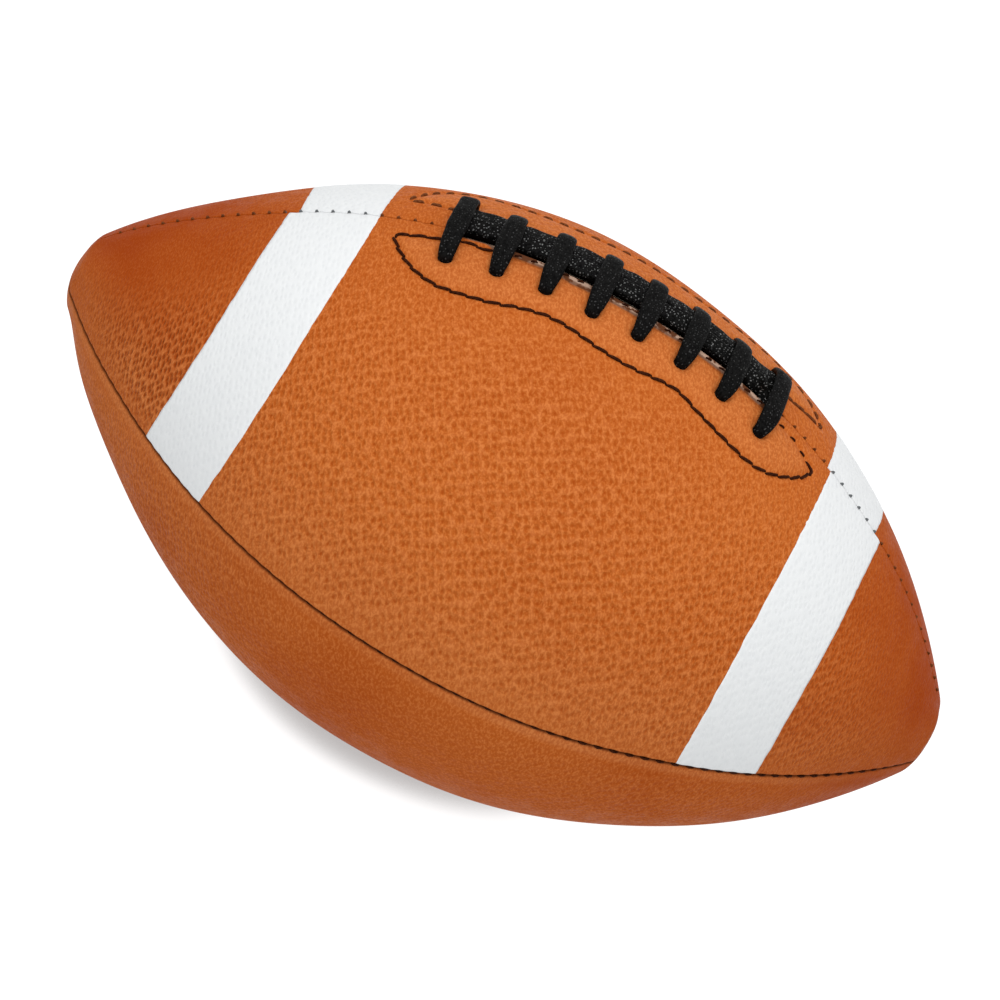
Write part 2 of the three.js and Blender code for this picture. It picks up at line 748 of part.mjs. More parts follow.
// The ball lies on the panels beside its bottom seam
group.position.z = -new THREE.Box3().setFromObject(group).min.z;

export default group;
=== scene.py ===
import math

import bpy
import numpy as np
from mathutils import Matrix, Vector


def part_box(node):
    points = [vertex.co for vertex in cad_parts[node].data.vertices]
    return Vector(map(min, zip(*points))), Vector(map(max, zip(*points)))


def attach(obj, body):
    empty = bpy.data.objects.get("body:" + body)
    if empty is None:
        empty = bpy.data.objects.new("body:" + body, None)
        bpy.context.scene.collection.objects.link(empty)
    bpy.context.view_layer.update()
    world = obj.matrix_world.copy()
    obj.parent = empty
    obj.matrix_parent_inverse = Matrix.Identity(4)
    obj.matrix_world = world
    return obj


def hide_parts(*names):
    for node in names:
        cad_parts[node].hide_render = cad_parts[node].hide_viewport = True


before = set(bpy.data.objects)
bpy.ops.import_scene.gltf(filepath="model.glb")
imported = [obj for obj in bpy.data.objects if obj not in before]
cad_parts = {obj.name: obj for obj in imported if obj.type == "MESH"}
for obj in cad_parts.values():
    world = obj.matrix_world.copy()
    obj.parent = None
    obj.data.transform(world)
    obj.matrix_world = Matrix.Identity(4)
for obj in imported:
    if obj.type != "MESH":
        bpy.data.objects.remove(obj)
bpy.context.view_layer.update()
mm = 0.001

# the long axis lies at the height of the front seam's thread
threadLow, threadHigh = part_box("seam_thread_front")
axisHeight = (threadLow.z + threadHigh.z) / 2 / mm
print("frame loaded, long axis at", round(axisHeight, 2), "mm")

ball = {
    "halfLength": 133.0,
    "maxRadius": 77.6,
    "overrun": 4.7,  # how far past the blunt tips the sides would meet
    "sideFullness": 2.037,
    "tipFullness": 0.843,
    "noseDepth": 2.8,
    "restPress": 0.6,  # softness of the flat patch that the ball lies on
    "swell": 0.14,  # slow unevenness of the blown-up leather
    "leftDraw": -0.034,  # the left end is drawn out a little finer than the right
    "rightDraw": 0.014,
    "drawPlace": 105.0,
    "drawReach": 24.0,
}
quarter = math.pi / 2


def smoothStep(value, low, high):
    t = np.clip((value - low) / (high - low), 0, 1)
    return t * t * (3 - 2 * t)


# 1 from the first place to the second and 0 outside, with soft ends
def stretch(value, first, second, soft):
    return smoothStep(value, first - soft, first) * (1 - smoothStep(value, second, second + soft))


def bell(distance, reach):
    return np.exp(-(distance / reach) ** 2)


def sideRadius(x):
    along = np.abs(x)
    side = np.clip(1 - (along / (ball["halfLength"] + ball["overrun"])) ** ball["sideFullness"], 0, 1)
    nose = np.clip((along - ball["halfLength"] + ball["noseDepth"]) / ball["noseDepth"], 0, 1)
    drawn = 1 + ball["leftDraw"] * bell(x + ball["drawPlace"], ball["drawReach"])
    drawn = drawn + ball["rightDraw"] * bell(x - ball["drawPlace"], ball["drawReach"])
    return drawn * ball["maxRadius"] * side ** ball["tipFullness"] * np.sqrt(1 - nose * nose)


# the side line from tip to tip, by its own length
sideTurn = np.linspace(-quarter, quarter, 8001)
sideX = ball["halfLength"] * np.sin(sideTurn)
sideR = sideRadius(sideX)
sideS = np.concatenate([[0], np.cumsum(np.hypot(np.diff(sideX), np.diff(sideR)))])
sideS -= sideS[-1] / 2
slopeX = np.gradient(sideX, sideS)
slopeR = np.gradient(sideR, sideS)
tipS = sideS[-1]


def placeAlong(x):
    return np.interp(x, sideX, sideS)


def xAt(s):
    return np.interp(s, sideS, sideX)


def radiusAt(s):
    return np.interp(s, sideS, sideR)


def unit(vectors):
    return vectors / np.linalg.norm(vectors, axis=1)[:, None]


# the front seam runs a little aslant: how far down it lies, by x, in millimetres along the skin
seamRun = [(-133, 0), (-112, 1.2), (-96, 1.7), (-60, 1.0), (-30, 0.8), (0, 0.4), (30, -0.15), (60, -1.0), (90, -1.2),
           (112, -0.7), (133, 0)]


# the slant fades out under the leather, where the turned-in edges meet the linings
def slantAt(s, angle, height):
    down = np.interp(xAt(s), *zip(*seamRun)) / np.maximum(radiusAt(s), 8)
    front = np.minimum(np.sin(angle), 0) ** 2
    return -down * front * smoothStep(height, -3.8, -1.6)


# a point by its place along the side line, its angle from the lacing seam and its height over the skin
def onBall(s, angle, height):
    outX = -np.interp(s, sideS, slopeR)
    outR = np.interp(s, sideS, slopeX)
    x = xAt(s) + outX * height
    r = np.maximum(radiusAt(s) + outR * height, 0.15)
    turned = angle + slantAt(s, angle, height)
    return np.stack([x, r * np.sin(turned), r * np.cos(turned)], axis=-1)


# from the long axis, in millimetres, to the frame, with the flat patch underneath
def toFrame(points):
    z = points[:, 2] + axisHeight
    z = (z + np.sqrt(z * z + ball["restPress"] ** 2)) / 2
    return np.stack([points[:, 0], points[:, 1], z], axis=1) * mm


# rings round a run of points, by their places across and up
def ringsAround(points, across, up, wide, tall):
    return points[:, None] + across[:, None] * wide[:, :, None] + up[:, None] * tall[:, :, None]


# points and faces of closed tubes, each a run of rings with an end face at both ends
def joinRings(tubes):
    faces = []
    start = 0
    for rings in tubes:
        count, size = rings.shape[:2]
        ring = start + np.arange(size)
        here = np.arange(count - 1)[:, None] * size
        turn = np.roll(ring, -1)
        quads = np.stack([here + ring, here + turn, here + size + turn, here + size + ring], axis=2)
        faces += quads.reshape(-1, 4).tolist()
        faces += [ring[::-1].tolist(), (ring + (count - 1) * size).tolist()]
        start += count * size
    return np.concatenate([rings.reshape(-1, 3) for rings in tubes]), faces


def signedVolume(points, faces):
    total = 0.0
    for sides in {len(face) for face in faces}:
        corner = points[np.array([face for face in faces if len(face) == sides])]
        for k in range(1, sides - 1):
            total += np.einsum("ij,ij->i", corner[:, 0], np.cross(corner[:, k], corner[:, k + 1])).sum()
    return total


def addObject(name, data):
    thing = bpy.data.objects.new(name, data)
    bpy.context.scene.collection.objects.link(thing)
    return thing


def makePiece(name, tubes, material, node, values=None):
    points, faces = joinRings(tubes)
    points = toFrame(points)
    if signedVolume(points, faces) < 0:
        faces = [face[::-1] for face in faces]
    mesh = bpy.data.meshes.new(name)
    mesh.from_pydata(points.tolist(), [], faces)
    for key, data in (values or {}).items():
        kind = "FLOAT_VECTOR" if data.ndim == 2 else "FLOAT"
        layer = mesh.attributes.new(key, kind, "POINT")
        layer.data.foreach_set("vector" if data.ndim == 2 else "value", data.astype(np.float32).ravel())
    mesh.shade_smooth()
    mesh.materials.append(material)
    piece = addObject(name, mesh)
    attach(piece, "root")
    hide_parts(node)


# shader tools: an input takes a socket as a link and anything else as its own value
def feed(tree, socket, value):
    if isinstance(value, bpy.types.NodeSocket):
        tree.links.new(value, socket)
    else:
        socket.default_value = (*value, 1) if socket.type == "RGBA" else value


def addNode(tree, kind, inputs=None, **settings):
    node = tree.nodes.new(kind)
    row, column = divmod(len(tree.nodes), 8)
    node.location = (column * 220 - 1700, 800 - row * 320)
    for key, value in settings.items():
        setattr(node, key, value)
    for key, value in (inputs or {}).items():
        feed(tree, node.inputs[key], value)
    return node


def mathNode(tree, operation, first, second, clamp=False):
    return addNode(tree, "ShaderNodeMath", {0: first, 1: second}, operation=operation, use_clamp=clamp).outputs[0]


def times(tree, first, second, clamp=False):
    return mathNode(tree, "MULTIPLY", first, second, clamp)


def vectorNode(tree, operation, inputs):
    return addNode(tree, "ShaderNodeVectorMath", inputs, operation=operation).outputs[0]


def mixColour(tree, share, first, second):
    return addNode(tree, "ShaderNodeMix", {0: share, 6: first, 7: second}, data_type="RGBA").outputs[2]


def rangeNode(tree, value, fromLow, fromHigh, toLow, toHigh):
    inputs = {"Value": value, "From Min": fromLow, "From Max": fromHigh, "To Min": toLow, "To Max": toHigh}
    return addNode(tree, "ShaderNodeMapRange", inputs, interpolation_type="SMOOTHSTEP").outputs["Result"]


def noise(tree, place, scale, detail, roughness=0.5, dimensions="2D"):
    inputs = {"Vector": place, "Scale": scale, "Detail": detail, "Roughness": roughness}
    return addNode(tree, "ShaderNodeTexNoise", inputs, noise_dimensions=dimensions).outputs


def attribute(tree, name, output="Fac"):
    return addNode(tree, "ShaderNodeAttribute", attribute_name=name).outputs[output]


# a new group with a place on the skin and two sizes as its inputs and values as its outputs
def newGroup(name, sizes, outputs):
    tree = bpy.data.node_groups.new(name, "ShaderNodeTree")
    tree.interface.new_socket("Place", in_out="INPUT", socket_type="NodeSocketVector")
    for key, start in sizes.items():
        tree.interface.new_socket(key, in_out="INPUT", socket_type="NodeSocketFloat").default_value = start
    for key in outputs:
        tree.interface.new_socket(key, in_out="OUTPUT", socket_type="NodeSocketFloat")
    return tree, addNode(tree, "NodeGroupInput").outputs


# pebbled grain: small pits in a lumpy field, in millimetres on the skin
def pebbleGroup():
    tree, given = newGroup("pebbleGrain", {"Pitch": 2.2, "Wander": 0.35}, ("Height", "Pits", "Ridges", "Fibres"))
    scaled = vectorNode(tree, "SCALE", {0: given["Place"], "Scale": mathNode(tree, "DIVIDE", 1.0, given["Pitch"])})
    centred = vectorNode(tree, "SUBTRACT", {0: noise(tree, scaled, 0.8, 2.0)["Color"], 1: (0.5, 0.5, 0.5)})
    wander = vectorNode(tree, "SCALE", {0: centred, "Scale": given["Wander"]})
    moved = vectorNode(tree, "ADD", {0: scaled, 1: wander})
    cells = addNode(tree, "ShaderNodeTexVoronoi", {"Vector": moved, "Scale": 1.0, "Randomness": 0.62},
                    voronoi_dimensions="2D", feature="F1").outputs
    raised = rangeNode(tree, cells["Distance"], 0.05, 0.46, 0.0, 1.0)
    streaks = rangeNode(tree, noise(tree, moved, 1.1, 3.0, 0.55)["Fac"], 0.34, 0.60, 0.35, 1.0)
    lumps = rangeNode(tree, cells["Distance"], 0.20, 0.62, 0.0, 1.0)
    ridges = times(tree, streaks, lumps)
    depth = addNode(tree, "ShaderNodeSeparateColor", {0: cells["Color"]}).outputs[0]
    pits = rangeNode(tree, cells["Distance"], 0.03, 0.31, 1.0, 0.0)
    addNode(tree, "NodeGroupOutput", {
        "Height": mathNode(tree, "ADD", raised, times(tree, ridges, 0.4)),
        "Pits": times(tree, pits, rangeNode(tree, depth, 0.0, 1.0, 0.45, 1.0)),
        "Ridges": ridges,
        "Fibres": rangeNode(tree, noise(tree, moved, 2.9, 2.0, 0.6)["Fac"], 0.34, 0.68, 0.0, 1.0),
    })
    return tree


# slow and fast changes of tone over a hide or a rubber skin
def toneGroup():
    tree, given = newGroup("toneDrift", {"Patch": 40.0, "Fleck": 3.0}, ("Patches", "Flecks"))
    spread = {}
    for size, output, detail in (("Patch", "Patches", 3.0), ("Fleck", "Flecks", 4.0)):
        scale = mathNode(tree, "DIVIDE", 1000.0, given[size])
        spots = noise(tree, given["Place"], scale, detail, 0.55, "3D")
        spread[output] = rangeNode(tree, spots["Fac"], 0.30, 0.70, 0.0, 1.0)
    addNode(tree, "NodeGroupOutput", spread)
    return tree


pebbleGrain = pebbleGroup()
toneDrift = toneGroup()


def grainOver(tree, pitch, wander=0.35):
    inputs = {"Place": attribute(tree, "grainPlace", "Vector"), "Pitch": pitch, "Wander": wander}
    return addNode(tree, "ShaderNodeGroup", inputs, node_tree=pebbleGrain).outputs


def toneOver(tree, patch, fleck):
    place = addNode(tree, "ShaderNodeTexCoord").outputs["Object"]
    inputs = {"Place": place, "Patch": patch, "Fleck": fleck}
    return addNode(tree, "ShaderNodeGroup", inputs, node_tree=toneDrift).outputs


def newMaterial(name):
    material = bpy.data.materials.new(name)
    material.use_nodes = True
    return material, material.node_tree


# a material's shader, with the specular level and the bump that its look names
def dress(tree, look, colour, rough, height=None):
    shader = tree.nodes["Principled BSDF"].inputs
    feed(tree, shader["Base Color"], colour)
    feed(tree, shader["Roughness"], rough)
    feed(tree, shader["Specular IOR Level"], look["specular"])
    if height is not None:
        bump = {"Strength": look.get("strength", 1.0), "Distance": look["relief"] * mm, "Height": height}
        feed(tree, shader["Normal"], addNode(tree, "ShaderNodeBump", bump).outputs["Normal"])
    return shader


leather = {
    "light": (0.600, 0.152, 0.0240),
    "deep": (0.545, 0.124, 0.0170),
    # lighter tone of the grain's lumps and streaks, with a painted highlight on the lumps
    "ridge": (0.780, 0.258, 0.0740),
    # the pits' darker tone, with painted shade in them
    "pit": (0.370, 0.052, 0.0025),
    "burnt": (0.365, 0.050, 0.0025),
    "pale": (0.720, 0.245, 0.0720),
    # the bead by the slit: lighter leather bits with a painted highlight, and dark specks with painted shade
    "lip": (0.560, 0.370, 0.270),
    "lipShade": (0.130, 0.044, 0.018),
    "crease": (0.100, 0.022, 0.005),
    "slitShade": (0.008, 0.004, 0.003),
    "pitch": 1.88,
    "relief": 0.20,
    "pitShare": 0.66,
    "ridgeShare": 0.50,
    "fibreShare": 0.34,
    "hairShare": 0.24,
    "specular": 0.03,
}


def leatherMaterial():
    look = leather
    material, tree = newMaterial("upperLeather")
    depth = attribute(tree, "grainDepth")
    grain = grainOver(tree, look["pitch"])
    tone = toneOver(tree, 60.0, 5.0)
    patchy = rangeNode(tree, tone["Patches"], 0.0, 1.0, 1.15, 0.75)
    # darkening of the tips and the bottom panels, eased by painted light beside the front seam
    burntShare = times(tree, attribute(tree, "darkening"), patchy, True)
    duller = rangeNode(tree, burntShare, 0.0, 1.0, 1.0, 0.45)
    ridgeShare = times(tree, times(tree, grain["Ridges"], depth), look["ridgeShare"])
    fibreShare = rangeNode(tree, grain["Fibres"], 0.0, 1.0, look["fibreShare"], 0.0)
    hairShare = rangeNode(tree, grain["Fibres"], 0.45, 1.0, 0.0, look["hairShare"])
    pitShare = times(tree, times(tree, grain["Pits"], depth), look["pitShare"], True)
    layers = [
        # paler leather inside the facing, and painted sheen and highlight beside the front seam
        (attribute(tree, "pale"), "pale"),
        (burntShare, "burnt"),
        # painted highlight on the grain's lumps, partly their lighter tone
        (times(tree, ridgeShare, duller), "ridge"),
        (fibreShare, "burnt"),
        (times(tree, hairShare, duller), "ridge"),
        # darker pits: their darker tone and painted shade
        (pitShare, "pit"),
    ]
    colour = mixColour(tree, tone["Patches"], look["deep"], look["light"])
    for share, layer in layers:
        colour = mixColour(tree, share, colour, look[layer])
    lip = attribute(tree, "lip")
    bits = rangeNode(tree, toneOver(tree, 2.6, 1.0)["Patches"], 0.30, 0.62, 0.0, 1.0)
    # the bead's light bits get a painted highlight towards its top and painted shade below
    lipTop = rangeNode(tree, lip, 0.5, 1.0, 0.25, 1.0)
    lipColour = mixColour(tree, times(tree, bits, lipTop), look["lipShade"], look["lip"])
    colour = mixColour(tree, rangeNode(tree, lip, 0.0, 0.4, 0.0, 1.0), colour, lipColour)
    # painted shade in the creases, and near black along the open slit
    for mask in ("crease", "slitShade"):
        colour = mixColour(tree, attribute(tree, mask), colour, look[mask])
    rough = rangeNode(tree, tone["Flecks"], 0.0, 1.0, 0.50, 0.64)
    dress(tree, look, colour, rough, times(tree, grain["Height"], depth))
    return material


stripePaint = {
    "white": (0.890, 0.905, 0.910),
    "grey": (0.62, 0.65, 0.68),
    "crease": (0.20, 0.19, 0.18),
    "relief": 0.06,
    "specular": 0.3,
}


def stripeMaterial():
    look = stripePaint
    material, tree = newMaterial("stripePaint")
    grain = grainOver(tree, leather["pitch"])
    tone = toneOver(tree, 30.0, 2.5)
    colour = mixColour(tree, times(tree, grain["Pits"], 0.16), look["white"], look["grey"])
    colour = mixColour(tree, times(tree, tone["Flecks"], 0.10), colour, look["grey"])
    # painted shade in the seam creases, carried over from the leather
    colour = mixColour(tree, attribute(tree, "crease"), colour, look["crease"])
    rough = rangeNode(tree, tone["Patches"], 0.0, 1.0, 0.42, 0.52)
    dress(tree, look, colour, rough, grain["Height"])
    return material


laceLook = {
    "black": (0.0022, 0.0021, 0.0021),
    "grey": (0.0075, 0.0073, 0.0070),
    "glint": (0.27, 0.27, 0.265),
    "grain": 0.95,
    "wander": 0.8,
    "relief": 0.08,
    "specular": 0.025,
}


# black lace with painted glints, full on the strands and fewer on the crosses
def laceMaterial():
    look = laceLook
    material, tree = newMaterial("laceCord")
    grain = grainOver(tree, look["grain"], look["wander"])
    tone = toneOver(tree, 9.0, 1.1)
    flecked = attribute(tree, "flecked")
    colour = mixColour(tree, grain["Ridges"], look["black"], look["grey"])
    glint = rangeNode(tree, tone["Flecks"], 0.20, 0.64, 0.0, 1.0)
    # painted glints in the grain's pits
    colour = mixColour(tree, times(tree, times(tree, glint, grain["Pits"]), flecked), colour, look["glint"])
    rough = rangeNode(tree, grain["Ridges"], 0.0, 1.0, 0.60, 0.42)
    pressed = rangeNode(tree, flecked, 0.25, 1.0, 0.35, 1.0)
    dress(tree, look, colour, rough, times(tree, grain["Height"], pressed))
    return material


threadFinish = {"paint": (0.15, 0.16, 0.165), "specular": 0.03, "relief": 0.12, "strength": 0.7}
threadLooks = {
    "sewingThread": {"brown": (0.022, 0.0050, 0.0018), "flecked": (0.055, 0.014, 0.005)},
    "tanThread": {"brown": (0.120, 0.033, 0.010), "flecked": (0.215, 0.072, 0.025)},
}


# thread, greyed where the stripes were painted over it
def threadMaterial(name):
    look = threadLooks[name]
    material, tree = newMaterial(name)
    tone = toneOver(tree, 6.0, 0.7)
    colour = mixColour(tree, tone["Flecks"], look["brown"], look["flecked"])
    colour = mixColour(tree, attribute(tree, "painted"), colour, threadFinish["paint"])
    rough = rangeNode(tree, tone["Patches"], 0.0, 1.0, 0.55, 0.75)
    dress(tree, threadFinish, colour, rough, tone["Flecks"])
    return material


hiddenFinish = {"patch": 18.0, "specular": 0.5, "relief": 0.15, "strength": 0.5}
hiddenLooks = {
    "liningCloth": {"first": (0.66, 0.59, 0.46), "second": (0.50, 0.44, 0.33), "rough": (0.8, 0.95), "fleck": 1.1},
    "facingLeather": {"first": (0.27, 0.15, 0.08), "second": (0.18, 0.09, 0.045), "rough": (0.75, 0.9), "fleck": 2.0},
    "bladderRubber": {"first": (0.022, 0.021, 0.020), "second": (0.05, 0.048, 0.045), "rough": (0.5, 0.7),
                      "fleck": 6.0},
    "valveRubber": {"first": (0.028, 0.027, 0.026), "second": (0.06, 0.058, 0.055), "rough": (0.45, 0.65),
                    "fleck": 1.5},
}


def hiddenMaterial(name):
    look = hiddenLooks[name]
    material, tree = newMaterial(name)
    tone = toneOver(tree, hiddenFinish["patch"], look["fleck"])
    colour = mixColour(tree, tone["Flecks"], look["first"], look["second"])
    rough = rangeNode(tree, tone["Patches"], 0.0, 1.0, *look["rough"])
    dress(tree, hiddenFinish, colour, rough, tone["Flecks"])
    return material


upperLeather = leatherMaterial()
stripeWhite = stripeMaterial()
laceBlack = laceMaterial()
threadBrown = threadMaterial("sewingThread")
threadTan = threadMaterial("tanThread")
hiddenMaterials = {name: hiddenMaterial(name) for name in hiddenLooks}
print("materials ready")

# lacing and stitching places, in millimetres: x along the ball, arc from the lacing seam
lacing = {
    "crossCount": 8,
    "crossPitch": 12.94,
    "crossShift": -1.1,
    "crossSlant": 0.75,
    "frontArc": 12.2,  # from the lacing seam to the front holes
    "backArc": 12.4,
    "frontDrift": (0.6, 0.2, 0.1, 0.5, -0.4, -0.6, -0.4, 0.9),
    "backDrift": (2.9, 0.2, 0.0, -0.2, -0.4, -0.4, -1.0, 1.6),
    "slitHalf": 49.0,
    "slitTaper": 2.5,
    "slitHalfWidth": 1.7,
    "width": 5.0,
    "strandWidth": 4.6,
    "strandBulge": 0.25,  # the strands spread between the crosses
    "thickness": 2.0,
    "pinchedWidth": 3.7,
    "pinchedThickness": 2.3,
    "strandArcs": (0.45, 4.95),
    "strandHeights": (1.55, 2.0),
    "strandLean": 0.38,  # of the front strand, over the rolled edge of the slit
    "crossHeight": 4.05,
    "shoulderHeight": 1.7,
    "runHeight": -5.85,
}
crossMiddles = (np.arange(lacing["crossCount"]) - (lacing["crossCount"] - 1) / 2) * lacing["crossPitch"]
crossMiddles = crossMiddles + lacing["crossShift"]


def holesBeside(side, sign):
    arcs = lacing[f"{side}Arc"] + np.array(lacing[f"{side}Drift"])
    return list(zip(crossMiddles - sign * lacing["crossSlant"] / 2, sign * arcs))


frontHoles = holesBeside("front", -1)
backHoles = holesBeside("back", 1)

stitchLoops = {
    "front": [
        (-59.9, -8.7), (-57.5, -13.0), (-53.6, -17.5), (-50.2, -20.1), (-44.6, -22.7), (-38, -23.4), (-30, -23.0),
        (-24, -21.7), (-17, -20.6), (-10, -21.1), (-3, -22.3), (4, -22.7), (10, -22.1), (16.5, -20.7), (21.5, -20.3),
        (27.5, -21.8), (36, -23.1), (43, -23.5), (47.5, -22.8), (51, -21.4), (54.5, -19.0), (57.8, -15.8),
        (60.4, -12.6), (62.2, -8.4), (60.6, -7.0), (58.3, -6.0), (56, -4.9), (52.5, -4.3), (48, -4.2), (40, -4.2),
        (18, -4.2), (0, -4.2), (-20, -4.2), (-33, -4.6), (-38, -5.5), (-41, -4.9), (-44, -4.7), (-50, -6.1),
        (-54.3, -6.5), (-57.2, -7.1), (-59.3, -7.3),
    ],
    "back": [
        (-61.7, 11.8), (-60.6, 15.3), (-57.5, 20.8), (-53, 25.6), (-48.5, 28.3), (-43.5, 29.2), (-38, 28.6),
        (-32, 27.5), (-26, 26.5), (-19, 25.7), (-11, 25.8), (-4, 26.3), (4, 25.9), (11, 24.7), (19, 24),
        (27, 24.4), (35, 25.4), (42, 26), (48, 25), (53.5, 23), (57.5, 19.8), (60.3, 14.8), (61, 12.6),
        (56, 11.6), (50.5, 10.0), (42, 8.6), (32, 7.8), (18, 7.4), (0, 7.2), (-20, 7.6), (-36, 8.8), (-50, 10.4),
        (-56, 11.4),
    ],
}


# a smooth closed or open run of points, evenly spaced by length
def smoothRun(points, spacing, closed):
    points = np.asarray(points, float)
    if closed:
        padded = np.concatenate([points[-1:], points, points[:2]])
    else:
        padded = np.concatenate([2 * points[:1] - points[1:2], points, 2 * points[-1:] - points[-2:-1]])
    t = np.linspace(0, 1, 24, endpoint=False)[:, None]
    dense = []
    for a, b, c, d in zip(padded[:-3], padded[1:-2], padded[2:-1], padded[3:]):
        curve = (2 * b + (c - a) * t + (2 * a - 5 * b + 4 * c - d) * t ** 2 + (3 * b - a - 3 * c + d) * t ** 3) / 2
        dense.append(curve)
    dense = np.concatenate(dense + [points[:1] if closed else points[-1:]])
    steps = np.linalg.norm(np.diff(dense[:, :3], axis=0), axis=1)
    travelled = np.concatenate([[0], np.cumsum(steps)])
    count = max(3, int(round(travelled[-1] / spacing)))
    wanted = np.linspace(0, travelled[-1], count + 1)
    if closed:
        wanted = wanted[:-1]
    return np.stack([np.interp(wanted, travelled, dense[:, k]) for k in range(dense.shape[1])], axis=1)


stitchPaths = {side: smoothRun(loop, 0.5, True) for side, loop in stitchLoops.items()}

seams = {
    "rollRadius": 1.7,
    "shutRoll": 0.95,
    "flatRoll": 0.2,  # share of the roll where the lacing seam is sewn shut
    "flatPull": 0.1,
    "facingRise": 0.45,  # the reinforcement lifts the leather inside its stitching
    "sewnDip": 0.34,  # the leather is pressed in along that stitching and at the lace holes
    "sewnReach": 0.95,
    "sewnRim": 0.10,
    "holeDip": 1.7,
    "holeReach": 2.5,
    "holeRim": 0.18,
    "lipArc": 4.15,
    "lipHalf": 1.55,
    "lipRise": 0.7,
    "lipFoot": -5.6,
    "lipNarrow": 2.3,  # the bead is narrow at its left end
    "lipWide": 0.9,
    "pull": 0.2,  # how far a seam is drawn in
    "pullReach": 6.0,
    "gap": 0.12,
    "pucker": 0.16,
    "puckerReach": 2.4,
    "stitchPitch": 4.35,
    "flange": 5.2,
    "flangeThickness": 0.8,
    "leatherThickness": 2.0,
    "narrowBelow": 40.0,  # towards the tips, rolls and hems get smaller with the panel's width
}
panels = {
    "lace_front": {"seam": -1, "offset": 0.0, "grain": 1.0, "lace": "front"},
    "lace_back": {"seam": 0, "offset": 411.0, "grain": 0.9, "lace": "back"},
    "bottom_back": {"seam": 1, "offset": 823.0, "grain": 0.36, "lace": None},
    "bottom_front": {"seam": 2, "offset": 1237.0, "grain": 0.26, "lace": None},
}
valvePlace = {"dishRadius": 3.4, "dishDepth": 1.7}


def isLacing(seam):
    return seam % 4 == 0


def narrowing(width):
    return np.minimum(1, width / seams["narrowBelow"])


# half the gap between two panels at a seam
def seamGap(seam, s):
    if not isLacing(seam):
        return np.full_like(s, seams["gap"])
    opened = np.clip((lacing["slitHalf"] - np.abs(xAt(s))) / lacing["slitTaper"], 0, 1)
    return seams["gap"] + (lacing["slitHalfWidth"] - seams["gap"]) * opened


# the back panel lies flatter beside the right half of the lacing, and so does the underside of the left end
flatPlaces = [
    {"s": 28.0, "angle": 0.56, "alongReach": 28.0, "aroundReach": 0.20, "depth": 1.1},
    {"s": float(placeAlong(-129.0)), "angle": 3.8, "alongReach": 13.0, "aroundReach": 0.9, "depth": 1.4},
]
swellRandom = np.random.default_rng(7)
swellWaves = [
    (swellRandom.uniform(0.03, 0.11), int(swellRandom.integers(2, 9)), swellRandom.uniform(0, 6.28))
    for _ in range(14)
]


def swellAt(s, angle):
    total = np.zeros_like(s)
    for along, around, phase in swellWaves:
        total += np.sin(along * s + around * angle + phase)
    total *= ball["swell"] / math.sqrt(len(swellWaves))
    for spot in flatPlaces:
        along = (s - spot["s"]) / spot["alongReach"]
        around = ((angle - spot["angle"] + math.pi) % (2 * math.pi) - math.pi) / spot["aroundReach"]
        total -= spot["depth"] * np.exp(-along ** 2 - around ** 2)
    return total


# least distance from places on the skin to a run of places
def distanceTo(path, x, arc):
    least = np.full(x.shape, 1e9)
    for px, pc in path:
        least = np.minimum(least, (x - px) ** 2 + (arc - pc) ** 2)
    return np.sqrt(least)


# whether places on the skin lie inside a closed run of places
def insideLoop(path, x, arc):
    inside = np.zeros(x.shape, bool)
    for (ax, ac), (bx, bc) in zip(path, np.roll(path, -1, axis=0)):
        if ac == bc:
            continue
        spans = (ac > arc) != (bc > arc)
        inside ^= spans & (x < ax + (arc - ac) * (bx - ax) / (bc - ac))
    return inside


# the bead of leather that shows along the front edge of the slit
def lipSpan(x):
    return stretch(x, -33, 43, 3)


# where the bead ends on the outside, widest between the third and the fifth cross
def lipEdge(x):
    narrow = seams["lipNarrow"] * (1 - smoothStep(x, -39, -34))
    wide = seams["lipWide"] * smoothStep(x, -24, -15) * (1 - smoothStep(x, -14, 30))
    return seams["lipFoot"] + narrow - wide


# painted light on the bead: painted shade on its lower side, rising to a painted highlight at its top
def lipLight(x, arc):
    low = lipEdge(x)
    whole = stretch(x, -46, 44, 3)
    return whole * (0.5 * smoothStep(arc, low, low + 0.35) + 0.5 * smoothStep(arc, low + 0.7, low + 1.5))


# a panel's two seams with the distances from them
def edgesOf(panel, s, arc):
    first = panel["seam"]
    width = radiusAt(s) * quarter
    return (first, arc - seamGap(first, s)), (first + 1, width - arc - seamGap(first + 1, s))


# which places lie near a panel's row of stitching, their distance from it and whether they are inside it
def bySewing(panel, x, fromLacing):
    near = (np.abs(x) < 68) & (np.abs(fromLacing) < 36)
    path = stitchPaths[panel["lace"]]
    return near, distanceTo(path, x[near], fromLacing[near]), insideLoop(path, x[near], fromLacing[near])


